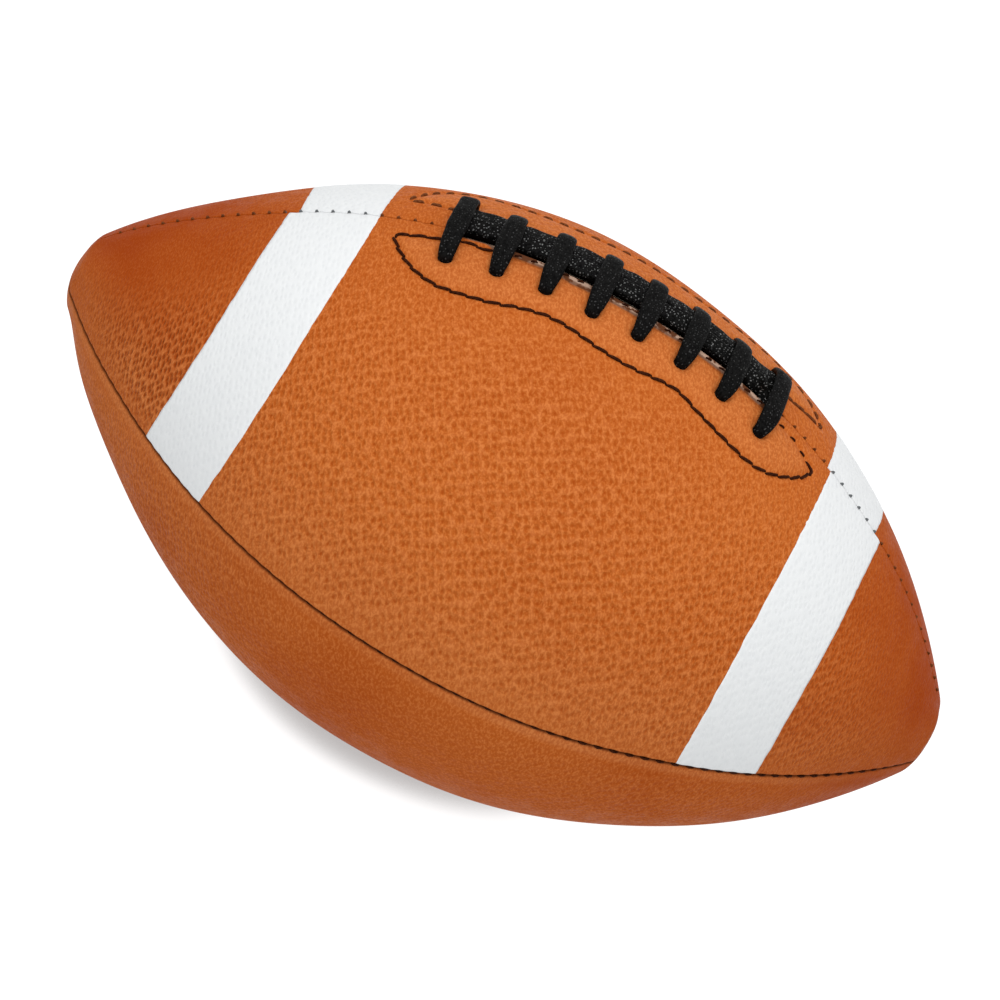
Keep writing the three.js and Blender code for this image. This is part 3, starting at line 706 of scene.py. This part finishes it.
# height of a panel's grain side over the plain ball, by place along and arc from the panel's first seam
def leatherHeight(side, s, arc):
    panel = panels[side]
    r = radiusAt(s)
    width = r * quarter
    x = xAt(s)
    angle = panel["seam"] * quarter + arc / r
    narrow = narrowing(width)
    height = swellAt(s, angle) * smoothStep(r, 2, 16)
    beat = 0.5 + 0.5 * np.cos(2 * math.pi * s / seams["stitchPitch"])  # 1 at each stitch of a seam
    for at, edge in edgesOf(panel, s, arc):
        edge = np.maximum(edge, 0)
        roll = seams["shutRoll"] * narrow
        pull = seams["pull"]
        opened = np.zeros_like(s)
        if isLacing(at):
            opened = smoothStep(lacing["slitHalf"] + 2 - np.abs(x), 0, 4)
            roll = narrow * seams["rollRadius"] * (seams["flatRoll"] + (1 - seams["flatRoll"]) * opened)
            pull = pull * (seams["flatPull"] + (1 - seams["flatPull"]) * opened)
        lean = np.clip(1 - edge / np.maximum(roll, 1e-6), 0, 1)
        height -= roll * (1 - np.sqrt(1 - lean * lean))
        height -= pull * narrow * np.exp(-edge / seams["pullReach"])
        height -= seams["pucker"] * narrow * beat * bell(edge, seams["puckerReach"]) * (1 - opened)
    if panel["lace"]:
        front = panel["lace"] == "front"
        fromLacing = arc - width if front else arc
        near, sewn, within = bySewing(panel, x, fromLacing)
        nx = x[near]
        nc = fromLacing[near]
        extra = seams["sewnRim"] * bell(sewn - 2.2, 1.2) - seams["sewnDip"] * bell(sewn, seams["sewnReach"])
        extra += seams["facingRise"] * within * smoothStep(sewn, 0, 5)
        for holeX, holeArc in frontHoles if front else backHoles:
            hole = np.hypot(nx - holeX, nc - holeArc)
            extra -= seams["holeDip"] * bell(hole, seams["holeReach"])
            extra += seams["holeRim"] * bell(hole - 4.2, 1.6)
        if front:
            bead = nc + seams["lipArc"] - (lipEdge(nx) - seams["lipFoot"]) / 2
            bead = np.sqrt(np.clip(1 - (bead / seams["lipHalf"]) ** 2, 0, 1))
            extra += seams["lipRise"] * bead * lipSpan(nx)
        height[near] += extra
    if side == "bottom_back":
        fromRim = np.hypot(s, arc - width / 2) - valvePlace["dishRadius"]
        height -= valvePlace["dishDepth"] * (1 - smoothStep(fromRim, -0.5, 0.9))
    return height


panelMesh = {
    "stations": 411,
    "closePitch": 0.58,  # columns lie close beside the lacing
    "closeReach": 30,
    "wideColumns": 62,
    "plainColumns": 86,
    "insideColumns": 18,
}
edgeSteps = np.array([0, 0.06, 0.14, 0.25, 0.40, 0.58, 0.80, 1.08, 1.42, 1.85, 2.4, 3.1, 4.0])


# places of a panel's columns between its edge steps, as shares, closer together beside the lacing
def columnShares(side):
    span = ball["maxRadius"] * quarter - 2 * edgeSteps[-1]
    if panels[side]["lace"]:
        close = np.arange(0.6, panelMesh["closeReach"], panelMesh["closePitch"])
        wide = np.linspace(panelMesh["closeReach"], span, panelMesh["wideColumns"])[:-1]
        shares = np.concatenate([close, wide]) / span
        return shares if panels[side]["lace"] == "back" else 1 - shares[::-1]
    return np.linspace(0, 1, panelMesh["plainColumns"])[1:-1]


# all columns of a panel, as arcs from its first seam, with fine steps over both rolled edges
def columnArcs(side, s):
    seam = panels[side]["seam"]
    first = seamGap(seam, s)
    last = seamGap(seam + 1, s)
    width = radiusAt(s) * quarter - first - last
    narrow = narrowing(width)[..., None]
    reach = edgeSteps[-1] * narrow
    middle = reach + columnShares(side) * (width[..., None] - 2 * reach)
    arcs = np.concatenate([edgeSteps * narrow, middle, width[..., None] - edgeSteps[::-1] * narrow], axis=-1)
    return arcs + first[..., None]


hide = {
    "lean": 31.0,  # the grain is drawn out along a slant of the hide
    "drawn": 1.36,
    "tipCrowding": 0.52,
    "edgeDrawing": 3.8e-5,
    "tipBurnish": 0.95,
    "lowDarkening": 0.46,  # at least this much darkening on the bottom panels
    "frontSeamLight": 0.55,  # painted light beside the front seam: less darkening there
    "creaseShade": 0.92,
    "shutShade": 0.04,  # where the lacing seam is sewn shut
    "creaseReach": 0.42,
    "facingPale": 0.36,
    "seamSheenPale": 0.30,
    "rimHighlight": 0.8,
}


# where the grain lies on the flat hide, closer together towards the tips and drawn out at the seams
def grainPlace(side, s, arc):
    across = arc - radiusAt(s) * quarter / 2
    u = s * (1 + hide["tipCrowding"] * (s / tipS) ** 2)
    v = across * (1 - hide["edgeDrawing"] * across ** 2)
    lean = math.radians(hide["lean"])
    short = u * math.cos(lean) + v * math.sin(lean) + panels[side]["offset"]
    drawn = (v * math.cos(lean) - u * math.sin(lean)) / hide["drawn"]
    return np.stack([short, drawn, np.zeros_like(u)], axis=-1)


def leatherValues(side, s, arc):
    panel = panels[side]
    width = radiusAt(s) * quarter
    signedX = xAt(s)
    x = np.abs(signedX)
    share = arc / np.maximum(width, 0.1)
    edges = edgesOf(panel, s, arc)
    edge = np.minimum(edges[0][1], edges[1][1])
    depth = panel["grain"] * (1 - 0.4 * smoothStep(x, 80, 128)) * (0.45 + 0.55 * smoothStep(edge, 1, 9))
    darkening = hide["tipBurnish"] * smoothStep(x, 56, 116)
    fromFront = edges[1 if panel["seam"] == 2 else 0][1]
    # painted light: the darkening eases beside the front seam
    besideFront = hide["frontSeamLight"] * (1 - smoothStep(fromFront, 4, 26))
    leftEnd = smoothStep(-signedX, 20, 85)
    if panel["lace"] is None:
        darkening = np.maximum(darkening * (1 - 0.35 * leftEnd), hide["lowDarkening"])
        darkening = darkening * (1 - besideFront * (1 - 0.6 * smoothStep(signedX, 20, 75)))
        depth = depth * (1 + 1.2 * smoothStep(x, 10, 75) + leftEnd)
    if panel["lace"] == "front":
        darkening = darkening * (1 - besideFront * np.maximum(leftEnd, 0.7 * smoothStep(signedX, 60, 110)))
        smoothTop = smoothStep(-signedX, 90, 120) * smoothStep(share, 0.3, 0.7)
        coarse = smoothStep(-signedX, 72, 98) * (1 - smoothStep(share, 0.3, 0.7))
        depth = depth * (1 - 0.7 * smoothTop) * (1 + 1.1 * coarse)
    crease = np.zeros_like(s)
    slitShade = np.zeros_like(s)
    for at, distance in edges:
        shut = isLacing(at) & (x > lacing["slitHalf"])
        shade = np.where(shut, hide["shutShade"], hide["creaseShade"])
        crease = np.maximum(crease, shade * bell(np.maximum(distance, 0), hide["creaseReach"]))
        # painted shade: near black along the open slit's edges, under the band
        if isLacing(at):
            slitShade = np.maximum(slitShade, (1 - smoothStep(distance, 0.15, 0.5)) * (x < lacing["slitHalf"] + 0.5))
    pale = np.zeros_like(s)
    if panel["lace"]:
        fromLacing = arc - width if panel["lace"] == "front" else arc
        near, sewn, within = bySewing(panel, signedX, fromLacing)
        depth = depth * (0.45 + 0.55 * smoothStep(np.abs(fromLacing), 14, 52))
        pale[near] = hide["facingPale"] * within * smoothStep(sewn, 0, 3)
    # painted sheen beside the front seam, on the bottom panels only towards the left end
    seamSheen = hide["seamSheenPale"] * (1 - smoothStep(fromFront, 5, 40))
    if panel["lace"] != "back":
        pale = np.maximum(pale, seamSheen * (leftEnd if panel["lace"] is None else 1))
    # painted highlight along the rolled edge of the bottom front panel at the front seam
    if panel["seam"] == 2:
        rim = (1 - smoothStep(fromFront, 2.2, 3.8)) * (0.5 + 0.5 * smoothStep(np.abs(signedX + 20), 10, 60))
        pale = np.maximum(pale, hide["rimHighlight"] * rim)
    lip = np.zeros_like(s)
    if panel["lace"] == "front":
        lip = lipLight(signedX, arc - width)
        # painted shade along the foot of the bead
        fromLip = arc - width - lipEdge(signedX)
        crease = np.maximum(crease, 0.5 * bell(fromLip + 0.2, 0.3) * lipSpan(signedX))
    return {"grainDepth": depth, "darkening": darkening, "crease": crease, "pale": pale, "lip": lip, "slitShade": slitShade}


def buildPanel(side):
    seam = panels[side]["seam"]
    nearTip = np.linspace(tipS, tipS - 9, 400)
    ends = np.interp(0.55, radiusAt(nearTip), nearTip)
    stations = np.linspace(-ends, ends, panelMesh["stations"])
    arcs = columnArcs(side, stations)
    s = np.broadcast_to(stations[:, None], arcs.shape).copy()
    outerHeight = leatherHeight(side, s, arcs)
    r = radiusAt(stations)
    width = r * quarter
    narrow = narrowing(width)
    x = np.abs(xAt(stations))
    hem = []
    for at in (seam, seam + 1):
        deep = seams["flange"] * narrow
        if isLacing(at):
            deep = deep - 2.6 * narrow * smoothStep(lacing["slitHalf"] + 12 - x, 0, 12)
        hem.append(np.maximum(deep, (seams["rollRadius"] + 0.5) * narrow))
    firstGap = seamGap(seam, stations)
    lastGap = seamGap(seam + 1, stations)
    fold = seams["flangeThickness"] * narrow
    shares = np.linspace(0, 1, panelMesh["insideColumns"])
    innerFirst = firstGap + fold
    innerLast = width - lastGap - fold
    innerArcs = innerLast[:, None] + (innerFirst - innerLast)[:, None] * shares
    inner = np.broadcast_to(-seams["leatherThickness"] * narrow[:, None] - 0.3, innerArcs.shape)
    ringArcs = np.column_stack([arcs, width - lastGap, innerLast, innerArcs, innerFirst, firstGap])
    ringHeight = np.column_stack([outerHeight, -hem[1], -hem[1], inner, -hem[0], -hem[0]])
    ringS = np.broadcast_to(stations[:, None], ringArcs.shape)
    points = onBall(ringS, seam * quarter + ringArcs / r[:, None], ringHeight)
    fields = leatherValues(side, ringS, ringArcs)
    hidden = np.arange(ringArcs.shape[1]) >= arcs.shape[1]
    # the turned-in and inner faces take the full crease colour, painted shade where they show in the seams and the
    # slit
    fields["crease"] = np.where(hidden, 1.0, fields["crease"])
    values = {key: field.ravel() for key, field in fields.items()}
    values["grainPlace"] = grainPlace(side, ringS, ringArcs).reshape(-1, 3)
    makePiece(f"leather_{side}", [points], upperLeather, f"panel_{side}", values)


for side in panels:
    buildPanel(side)
    print("panel", side)

# stripe edges along the ball: middle, tilt and bend across the panel, from its far seam (-1) to the lacing (+1)
stripes = {
    "left_front": {"panel": "lace_front", "low": (-88.0, 2.0, -1.4), "high": (-66.6, 2.35, -1.8)},
    "right_front": {"panel": "lace_front", "low": (65.55, 0.1, 2.3), "high": (86.9, 0.4, 2.05)},
    "left_back": {"panel": "lace_back", "low": (-87.0, 0.9, 0.9), "high": (-65.2, -1.0, 0.0)},
    "right_back": {"panel": "lace_back", "low": (68.4, -1.7, 0.0), "high": (90.2, -0.9, -2.4)},
}
stripeFilm = {"lift": 0.10, "sink": 0.05, "ragged": 0.11, "rows": 40, "creaseShare": 0.75}


# values of a film's top, and again for its underside
def doubled(field):
    return np.concatenate([field, field[:, ::-1]], axis=1)


def buildStripe(name, seed):
    stripe = stripes[name]
    side = stripe["panel"]
    random = np.random.default_rng(seed)
    middle = placeAlong((stripe["low"][0] + stripe["high"][0]) / 2)
    shares = columnArcs(side, np.array([middle]))[0] / (radiusAt(middle) * quarter)
    across = 2 * shares - 1 if panels[side]["lace"] == "front" else 1 - 2 * shares
    edges = []
    for key in ("low", "high"):
        middleX, tilt, bend = stripe[key]
        wobble = random.normal(0, 1, len(shares))
        wobble = np.convolve(wobble, (0.25, 0.5, 0.25), "same") * stripeFilm["ragged"]
        edges.append(placeAlong(middleX + tilt * across + bend * across ** 2) + wobble)
    rows = np.linspace(0, 1, stripeFilm["rows"])[:, None]
    s = edges[0] + (edges[1] - edges[0]) * rows
    arcs = np.stack([columnArcs(side, s[:, k])[:, k] for k in range(len(shares))], axis=1)
    height = leatherHeight(side, s, arcs)
    angle = panels[side]["seam"] * quarter + arcs / radiusAt(s)
    rim = np.minimum(np.minimum(rows, 1 - rows) * 14, 1)
    top = onBall(s, angle, height + stripeFilm["lift"] * np.sqrt(rim) + 0.02)
    bottom = onBall(s, angle, height - stripeFilm["sink"])
    ring = np.concatenate([top, bottom[:, ::-1]], axis=1)
    values = {
        "grainPlace": doubled(grainPlace(side, s, arcs)).reshape(-1, 3),
        "crease": (doubled(leatherValues(side, s, arcs)["crease"]) * stripeFilm["creaseShare"]).ravel(),
    }
    makePiece(f"paint_{name}", [ring], stripeWhite, f"stripe_{name}", values)


for seed, name in enumerate(stripes):
    buildStripe(name, 100 + seed)
print("stripes painted")

stitching = {"rise": 0.18, "seamRise": 0.25, "sides": 9, "steps": 12, "plies": 3, "turns": 1.6, "pathPitch": 0.25}


# one sewn stitch along a run of points, with its out directions, as a twisted thread that dives at both ends
def stitchRings(points, outs, radius, rise):
    t = np.linspace(0, 1, len(points))
    along = unit(np.gradient(points, axis=0))
    across = unit(np.cross(along, outs))
    up = np.cross(across, along)
    thick = radius * np.clip(1 - np.abs(2 * t - 1) ** 7, 0.02, 1) ** 0.5
    lift = rise * (1 - np.abs(2 * t - 1) ** 3 * 2.2)
    turn = np.linspace(0, 2 * math.pi, stitching["sides"], endpoint=False)
    twist = turn[None, :] * stitching["plies"] + t[:, None] * stitching["turns"] * 2 * math.pi
    swell = thick[:, None] * (1 + 0.13 * np.cos(twist))
    return ringsAround(points + up * lift[:, None], across, up, swell * np.cos(turn), swell * np.sin(turn))


# skin points beside the lacing, by x, arc from the lacing seam and height over the leather
def besideLacing(x, arc, height):
    s = placeAlong(x)
    r = radiusAt(s)
    skin = np.zeros_like(s)
    front = arc < 0
    skin[front] = leatherHeight("lace_front", s[front], (r * quarter + arc)[front])
    skin[~front] = leatherHeight("lace_back", s[~front], arc[~front])
    return onBall(s, arc / r, skin + height), onBall(s, arc / r, skin + height + 1)


# beside the slit the rows change: finer and broken in front, closed up at the back's right end
facingStitches = {
    "front": {"length": 4.2, "gap": -0.6, "radius": 0.40, "slant": (0.22, 0.42), "thread": threadBrown, "seed": 21,
              "slitFrom": -36.0, "slitReach": 7.2, "slitGap": 2.3, "slitRadius": 0.27},
    "back": {"length": 4.5, "gap": 1.6, "radius": 0.42, "slant": (0.10, 0.26), "thread": threadTan, "seed": 22,
             "slitFrom": 46.0, "slitReach": 13.0, "slitGap": -0.6, "slitRadius": 0.40},
}


def buildFacingStitch(side):
    row = facingStitches[side]
    length = row["length"]
    random = np.random.default_rng(row["seed"])
    pitch = stitching["pathPitch"]
    path = smoothRun(stitchLoops[side], pitch, True)
    count = int(round(len(path) * pitch / length))
    step = len(path) / count
    rings = []
    for k in range(count):
        middle = (k + 0.5) * step
        midX, midArc = path[int(middle) % len(path)]
        bySlit = midX > row["slitFrom"] and abs(midArc) < row["slitReach"]
        gap = row["slitGap"] if bySlit else row["gap"]
        radius = row["slitRadius"] if bySlit else row["radius"]
        half = (length - gap) / 2 / pitch
        spots = np.linspace(middle - half, middle + half, stitching["steps"])
        x, arc = (np.interp(spots, np.arange(len(path)), line, period=len(path)) for line in path.T)
        slant = random.uniform(*row["slant"]) * np.linspace(-1, 1, stitching["steps"])
        run = unit(np.stack([np.gradient(x), np.gradient(arc)], axis=1))
        x = x - run[:, 1] * slant
        arc = arc + run[:, 0] * slant
        points, above = besideLacing(x, arc, 0.12)
        rings.append(stitchRings(points, above - points, radius, stitching["rise"]))
    makePiece(f"stitching_{side}", rings, row["thread"], f"facing_stitch_{side}")


for side in facingStitches:
    buildFacingStitch(side)
print("facing stitches sewn")

# each row starts at its first place and goes on at its own pitch
flushRow = {"seam": 0, "length": 0.95, "radius": 0.32, "depth": 0.05, "thread": threadTan}
sunkRow = {"from": -128.0, "to": 128.0, "pitch": 4.35, "length": 2.7, "radius": 0.35, "depth": 1.35,
           "thread": threadBrown}
seamStitches = {
    "lace_left": {**flushRow, "from": -53.4, "to": -128.0, "pitch": 4.45},
    "lace_right": {**flushRow, "from": 53.4, "to": 128.0, "pitch": 4.1},
    "back": {**sunkRow, "seam": 1},
    "bottom": {**sunkRow, "seam": 2},
    "front": {**sunkRow, "seam": 3, "rightDepth": 0.72},  # its right stitches lie higher
}


def buildSeamStitches(name):
    row = seamStitches[name]
    start, end = placeAlong(row["from"]), placeAlong(row["to"])
    rings = []
    for k in range(int(abs(end - start) / row["pitch"]) + 1):
        middle = start + math.copysign(k * row["pitch"], end - start)
        s = np.linspace(-0.5, 0.5, stitching["steps"]) * row["length"] + middle
        angle = np.full_like(s, row["seam"] * quarter)
        less = (row["depth"] - row.get("rightDepth", row["depth"])) * smoothStep(middle, -45, 55)
        level = np.full_like(s, less - row["depth"])
        points = onBall(s, angle, level)
        rings.append(stitchRings(points, onBall(s, angle, level + 1) - points, row["radius"], stitching["seamRise"]))
    x = np.abs(np.concatenate(rings)[:, :, 0].ravel())
    painted = stretch(x, 66.5, 88, 0.5) * (row["seam"] == 0)
    makePiece(f"seam_stitches_{name}", rings, row["thread"], f"seam_thread_{name}", {"painted": painted})


for name in seamStitches:
    buildSeamStitches(name)
print("seams sewn")


# places on the lace's route are (x, arc, height, pinch, width), here from under the leather up through a hole
def upThrough(hole, sign):
    x, arc = hole
    run, shoulder = lacing["runHeight"], lacing["shoulderHeight"]
    steps = [
        (4.2, run, 0),
        (2, run - 0.2, 0.5),
        (0.4, run + 0.7, 1),
        (0, run + 2.4, 1),
        (0, -1.2, 1),
        (0.3, shoulder - 1.1, 0.8),
        (1.6, shoulder, 0.35),
    ]
    return [(x, sign * (abs(arc) - short), height, pinch, lacing["width"]) for short, height, pinch in steps]


def overStrands(front, back):
    high, shoulder, wide = lacing["crossHeight"], lacing["shoulderHeight"], lacing["width"]
    near = lacing["strandArcs"][0] - lacing["strandWidth"] / 2
    far = lacing["strandArcs"][1] + lacing["strandWidth"] / 2 - 0.9 + (back[1] - lacing["backArc"])
    slope = (high + shoulder) / 2 + 0.2
    run = [
        ((front[1] + near) / 2 - 0.6, slope, 1.05),
        (near - 0.4, high - 0.35, 1.14),
        (1.7, high + 0.1, 1.07),
        (far - 1.5, high + 0.1, 1.0),
        (far + 0.7, slope + 0.4, 1.0),
    ]
    slant = (back[0] - front[0]) / (back[1] - front[1])
    return [(front[0] + slant * (arc - front[1]), arc, height, 0, wide * spread) for arc, height, spread in run]


def strand(which, start, end):
    arc, height = lacing["strandArcs"][which], lacing["strandHeights"][which]
    run = np.linspace(start, end, 29)
    beat = -np.cos(2 * math.pi * (run - crossMiddles[0]) / lacing["crossPitch"])
    width = lacing["strandWidth"] + lacing["strandBulge"] * beat
    drift = 0.4 * (1 - smoothStep(run, -42, -20))
    return [(x, arc + aside, height, 0, wide) for x, aside, wide in zip(run, drift, width)]


# from the free end under the first cross, round the bight under the last, back, down the slit and over
def laceRoute():
    near, far = lacing["strandArcs"]
    low, top = lacing["strandHeights"]
    run, wide = lacing["runHeight"], lacing["strandWidth"]
    left, right = crossMiddles[0] - 0.6, crossMiddles[-1]
    middle = (near + far) / 2
    level = (low + top) / 2
    route = strand(1, left + 0.6, right - 10)
    route += [
        (right - 6.5, far + 0.1, top, 0, wide * 1.1),
        (right - 3.4, far - 0.1, top, 0.1, wide * 1.1),
        (right - 0.8, middle + 2.0, level, 0.8, wide),
        (right + 0.5, middle - 0.6, level, 1, wide),
        (right - 0.2, middle - 3.3, level, 0.7, wide),
        (right - 2.4, near - 1.4, low, 0, wide * 1.24),
        (right - 5.2, near - 0.4, low, 0, wide * 1.18),
        (right - 8.5, near, low, 0, wide),
    ]
    route += strand(0, right - 12, left + 4)
    route += [
        (left + 1.6, near + 0.2, low - 0.2, 0.4, wide),
        (left + 0.4, -0.7, 0.6, 0.9, wide),
        (left, -0.3, -1.0, 0.9, wide),
        (left, -0.3, -3.2, 0.8, wide),
        (left + 0.3, -1.6, run + 0.6, 0.4, wide),
        (left + 0.6, -4.6, run, 0, wide),
    ]
    for k, (front, back) in enumerate(zip(frontHoles, backHoles)):
        route += upThrough(front, -1) + overStrands(front, back) + upThrough(back, 1)[::-1]
        if k < lacing["crossCount"] - 1:
            route += [((back[0] + frontHoles[k + 1][0]) / 2, 0, run + 0.3, 0, wide)]
    route += [(backHoles[-1][0] - 2, 4.0, run, 0, wide), (backHoles[-1][0] - 5, 0.5, run, 0, wide)]
    return np.array(route, float)


def nearLacing(x, arc, height=0.0):
    s = placeAlong(x)
    return onBall(s, arc / radiusAt(s), height)


# each point evened out with its neighbours
def evened(points, window):
    reach = len(window) // 2
    padded = np.pad(points, ((reach, reach), (0, 0)), "edge")
    return np.stack([np.convolve(line, window / window.sum(), "valid") for line in padded.T], axis=1)


def buildLace():
    spacing = 0.3
    route = smoothRun(laceRoute(), spacing, False)
    x, arc, height, pinch, wide = route.T
    random = np.random.default_rng(5)
    slow = np.convolve(random.normal(0, 1, len(x) + 60), np.hanning(61), "valid") * 0.035
    quick = np.convolve(random.normal(0, 1, len(x) + 24), np.hanning(25), "valid") * 0.028
    points = evened(nearLacing(x, arc + slow * 0.5, height + quick * 0.5), np.hanning(9))
    direction = unit(np.gradient(points, axis=0))
    meridian = unit(nearLacing(x + 1.9, arc) - nearLacing(x - 1.9, arc))
    out = nearLacing(x, arc, 1.0) - nearLacing(x, arc)
    sideways = nearLacing(x, arc + 1) - nearLacing(x, arc)
    dive = int(np.argmax(height < 0))  # where the strands end and the crosses begin
    flat = (1 - smoothStep(np.arange(len(x)), dive - 20, dive))[:, None]
    lean = lacing["strandLean"] * flat * (1 - smoothStep(arc, 0.9, 3.0))[:, None]
    face = np.cross(meridian, direction) - 0.3 * (out - lean * sideways)
    face = evened(face, np.ones(9))
    face = unit(face - direction * np.einsum("ij,ij->i", face, direction)[:, None])
    across = np.cross(direction, face)
    pinch = np.clip(pinch, 0, 1)
    half = (wide + (lacing["pinchedWidth"] - wide) * pinch) / 2 * (1 + 0.25 * quick)
    thick = (lacing["thickness"] + (lacing["pinchedThickness"] - lacing["thickness"]) * pinch) / 2
    turn = np.linspace(0, 2 * math.pi, 28, endpoint=False)
    sectionWide = np.sign(np.cos(turn)) * np.abs(np.cos(turn)) ** (0.62 - 0.2 * flat)
    sectionThick = np.sign(np.sin(turn)) * np.abs(np.sin(turn)) ** (0.80 - 0.3 * flat)
    rings = ringsAround(points, across, face, half[:, None] * sectionWide, thick[:, None] * sectionThick)
    count, size = rings.shape[:2]
    along = np.arange(count)[:, None] * spacing + 0 * turn
    steps = np.linalg.norm(np.diff(rings, axis=1), axis=2)
    girth = np.concatenate([np.zeros((count, 1)), np.cumsum(steps, axis=1)], axis=1)
    # painted glints and full grain relief on the strands, a quarter of that on the crosses
    flecked = np.clip(0.25 + 0.75 * flat[:, 0] * (1 - 0.7 * pinch), 0, 1)
    values = {
        "grainPlace": np.stack([along, girth, 0 * along], axis=-1).reshape(-1, 3),
        "flecked": np.repeat(flecked, size),
    }
    makePiece("lace_cord", [rings], laceBlack, "lace", values)


buildLace()
print("lace threaded")

# pieces inside keep their own solids and get their finish
insideFinish = {
    "lining": "liningCloth",
    "lace_facing": "facingLeather",
    "bladder": "bladderRubber",
    "valve": "valveRubber",
}
for node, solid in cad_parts.items():
    for start, finish in insideFinish.items():
        if node.startswith(start):
            solid.data.materials.clear()
            solid.data.materials.append(hiddenMaterials[finish])
print("inside pieces finished")

studio = {
    "azimuth": -3.207,
    "elevation": 37.6,
    "roll": 31.045,
    "distance": 681.8,
    "lens": 89.85,
    "aimRight": -1.437,  # the ball sits a little off the middle of the picture
    "aimUp": 1.407,
    "world": 0.585,
    "floorSize": 8.0,
    "floorTone": (0.20, 0.21, 0.215),
    "floorRough": 0.95,
    "floorGlow": 0.34,
    "floorSeen": 0.96,
    "contactShadowReach": 0.0112,
    "contactShadowShare": (0.45, 1.0),  # painted contact shadow: share of the floor's seen glow under the ball and clear of it
}


def buildCamera():
    azimuth, elevation, roll = (math.radians(studio[key]) for key in ("azimuth", "elevation", "roll"))
    turned = Matrix.Rotation(azimuth, 4, "Z") @ Matrix.Rotation(quarter - elevation, 4, "X")
    turned = turned @ Matrix.Rotation(roll, 4, "Z")
    place = turned @ Vector((studio["aimRight"], studio["aimUp"], studio["distance"]))
    place = (place + Vector((0, 0, axisHeight))) * mm
    lens = bpy.data.cameras.new("photoCamera")
    lens.lens = studio["lens"]
    lens.sensor_width = 36
    lens.clip_start = 0.01
    camera = addObject("photoCamera", lens)
    camera.matrix_world = Matrix.Translation(place) @ turned
    bpy.context.scene.camera = camera


buildCamera()

lamps = {
    "topSoftbox": {"direction": (-0.10, 0.05, 1.0), "distance": 1.3, "size": 1.0, "power": 6.3},
    "frontSoftbox": {"direction": (-0.02, -1.0, 0.52), "distance": 1.5, "size": 0.8, "power": 5.4},
}
for name, look in lamps.items():
    lamp = bpy.data.lights.new(name, "AREA")
    lamp.shape = "DISK"
    lamp.size = look["size"]
    lamp.energy = look["power"]
    holder = addObject(name, lamp)
    aim = Vector(look["direction"]).normalized()
    holder.location = Vector((0, 0, axisHeight * mm)) + aim * look["distance"]
    holder.rotation_euler = aim.to_track_quat("Z", "Y").to_euler()

world = bpy.data.worlds.new("softRoom")
bpy.context.scene.world = world
world.use_nodes = True
room = world.node_tree
sky = room.nodes["Background"]


# 1 where the background is looked at, straight or in a reflection, and 0 where it gives light
def lookedAt(tree):
    rays = addNode(tree, "ShaderNodeLightPath").outputs
    mirrored = mathNode(tree, "MAXIMUM", rays["Is Glossy Ray"], rays["Is Transmission Ray"])
    return mathNode(tree, "MAXIMUM", rays["Is Camera Ray"], mirrored)


feed(room, sky.inputs["Strength"], rangeNode(room, lookedAt(room), 0.0, 1.0, studio["world"], 1.0))
feed(room, sky.inputs["Color"], (1, 1, 1))


def buildFloor():
    half = studio["floorSize"] / 2
    mesh = bpy.data.meshes.new("paperFloor")
    mesh.from_pydata([(-half, -half, 0), (half, -half, 0), (half, half, 0), (-half, half, 0)], [], [[0, 1, 2, 3]])
    floor = addObject("paperFloor", mesh)
    material, tree = newMaterial("whitePaper")
    # painted contact shadow: the glow that the camera sees on the floor is dimmed by ambient occlusion near the ball
    contact = addNode(tree, "ShaderNodeAmbientOcclusion", {"Distance": studio["contactShadowReach"]}, samples=12)
    share = rangeNode(tree, contact.outputs["AO"], 0.38, 1.0, *studio["contactShadowShare"])
    seen = times(tree, share, studio["floorSeen"])
    glow = addNode(tree, "ShaderNodeMix", {0: lookedAt(tree), 2: studio["floorGlow"], 3: seen}).outputs[0]
    shader = dress(tree, {"specular": 0.0}, studio["floorTone"], studio["floorRough"])
    feed(tree, shader["Emission Color"], (1, 1, 1))
    feed(tree, shader["Emission Strength"], glow)
    mesh.materials.append(material)


buildFloor()
bpy.context.scene.view_settings.view_transform = "Standard"
print("studio lit")
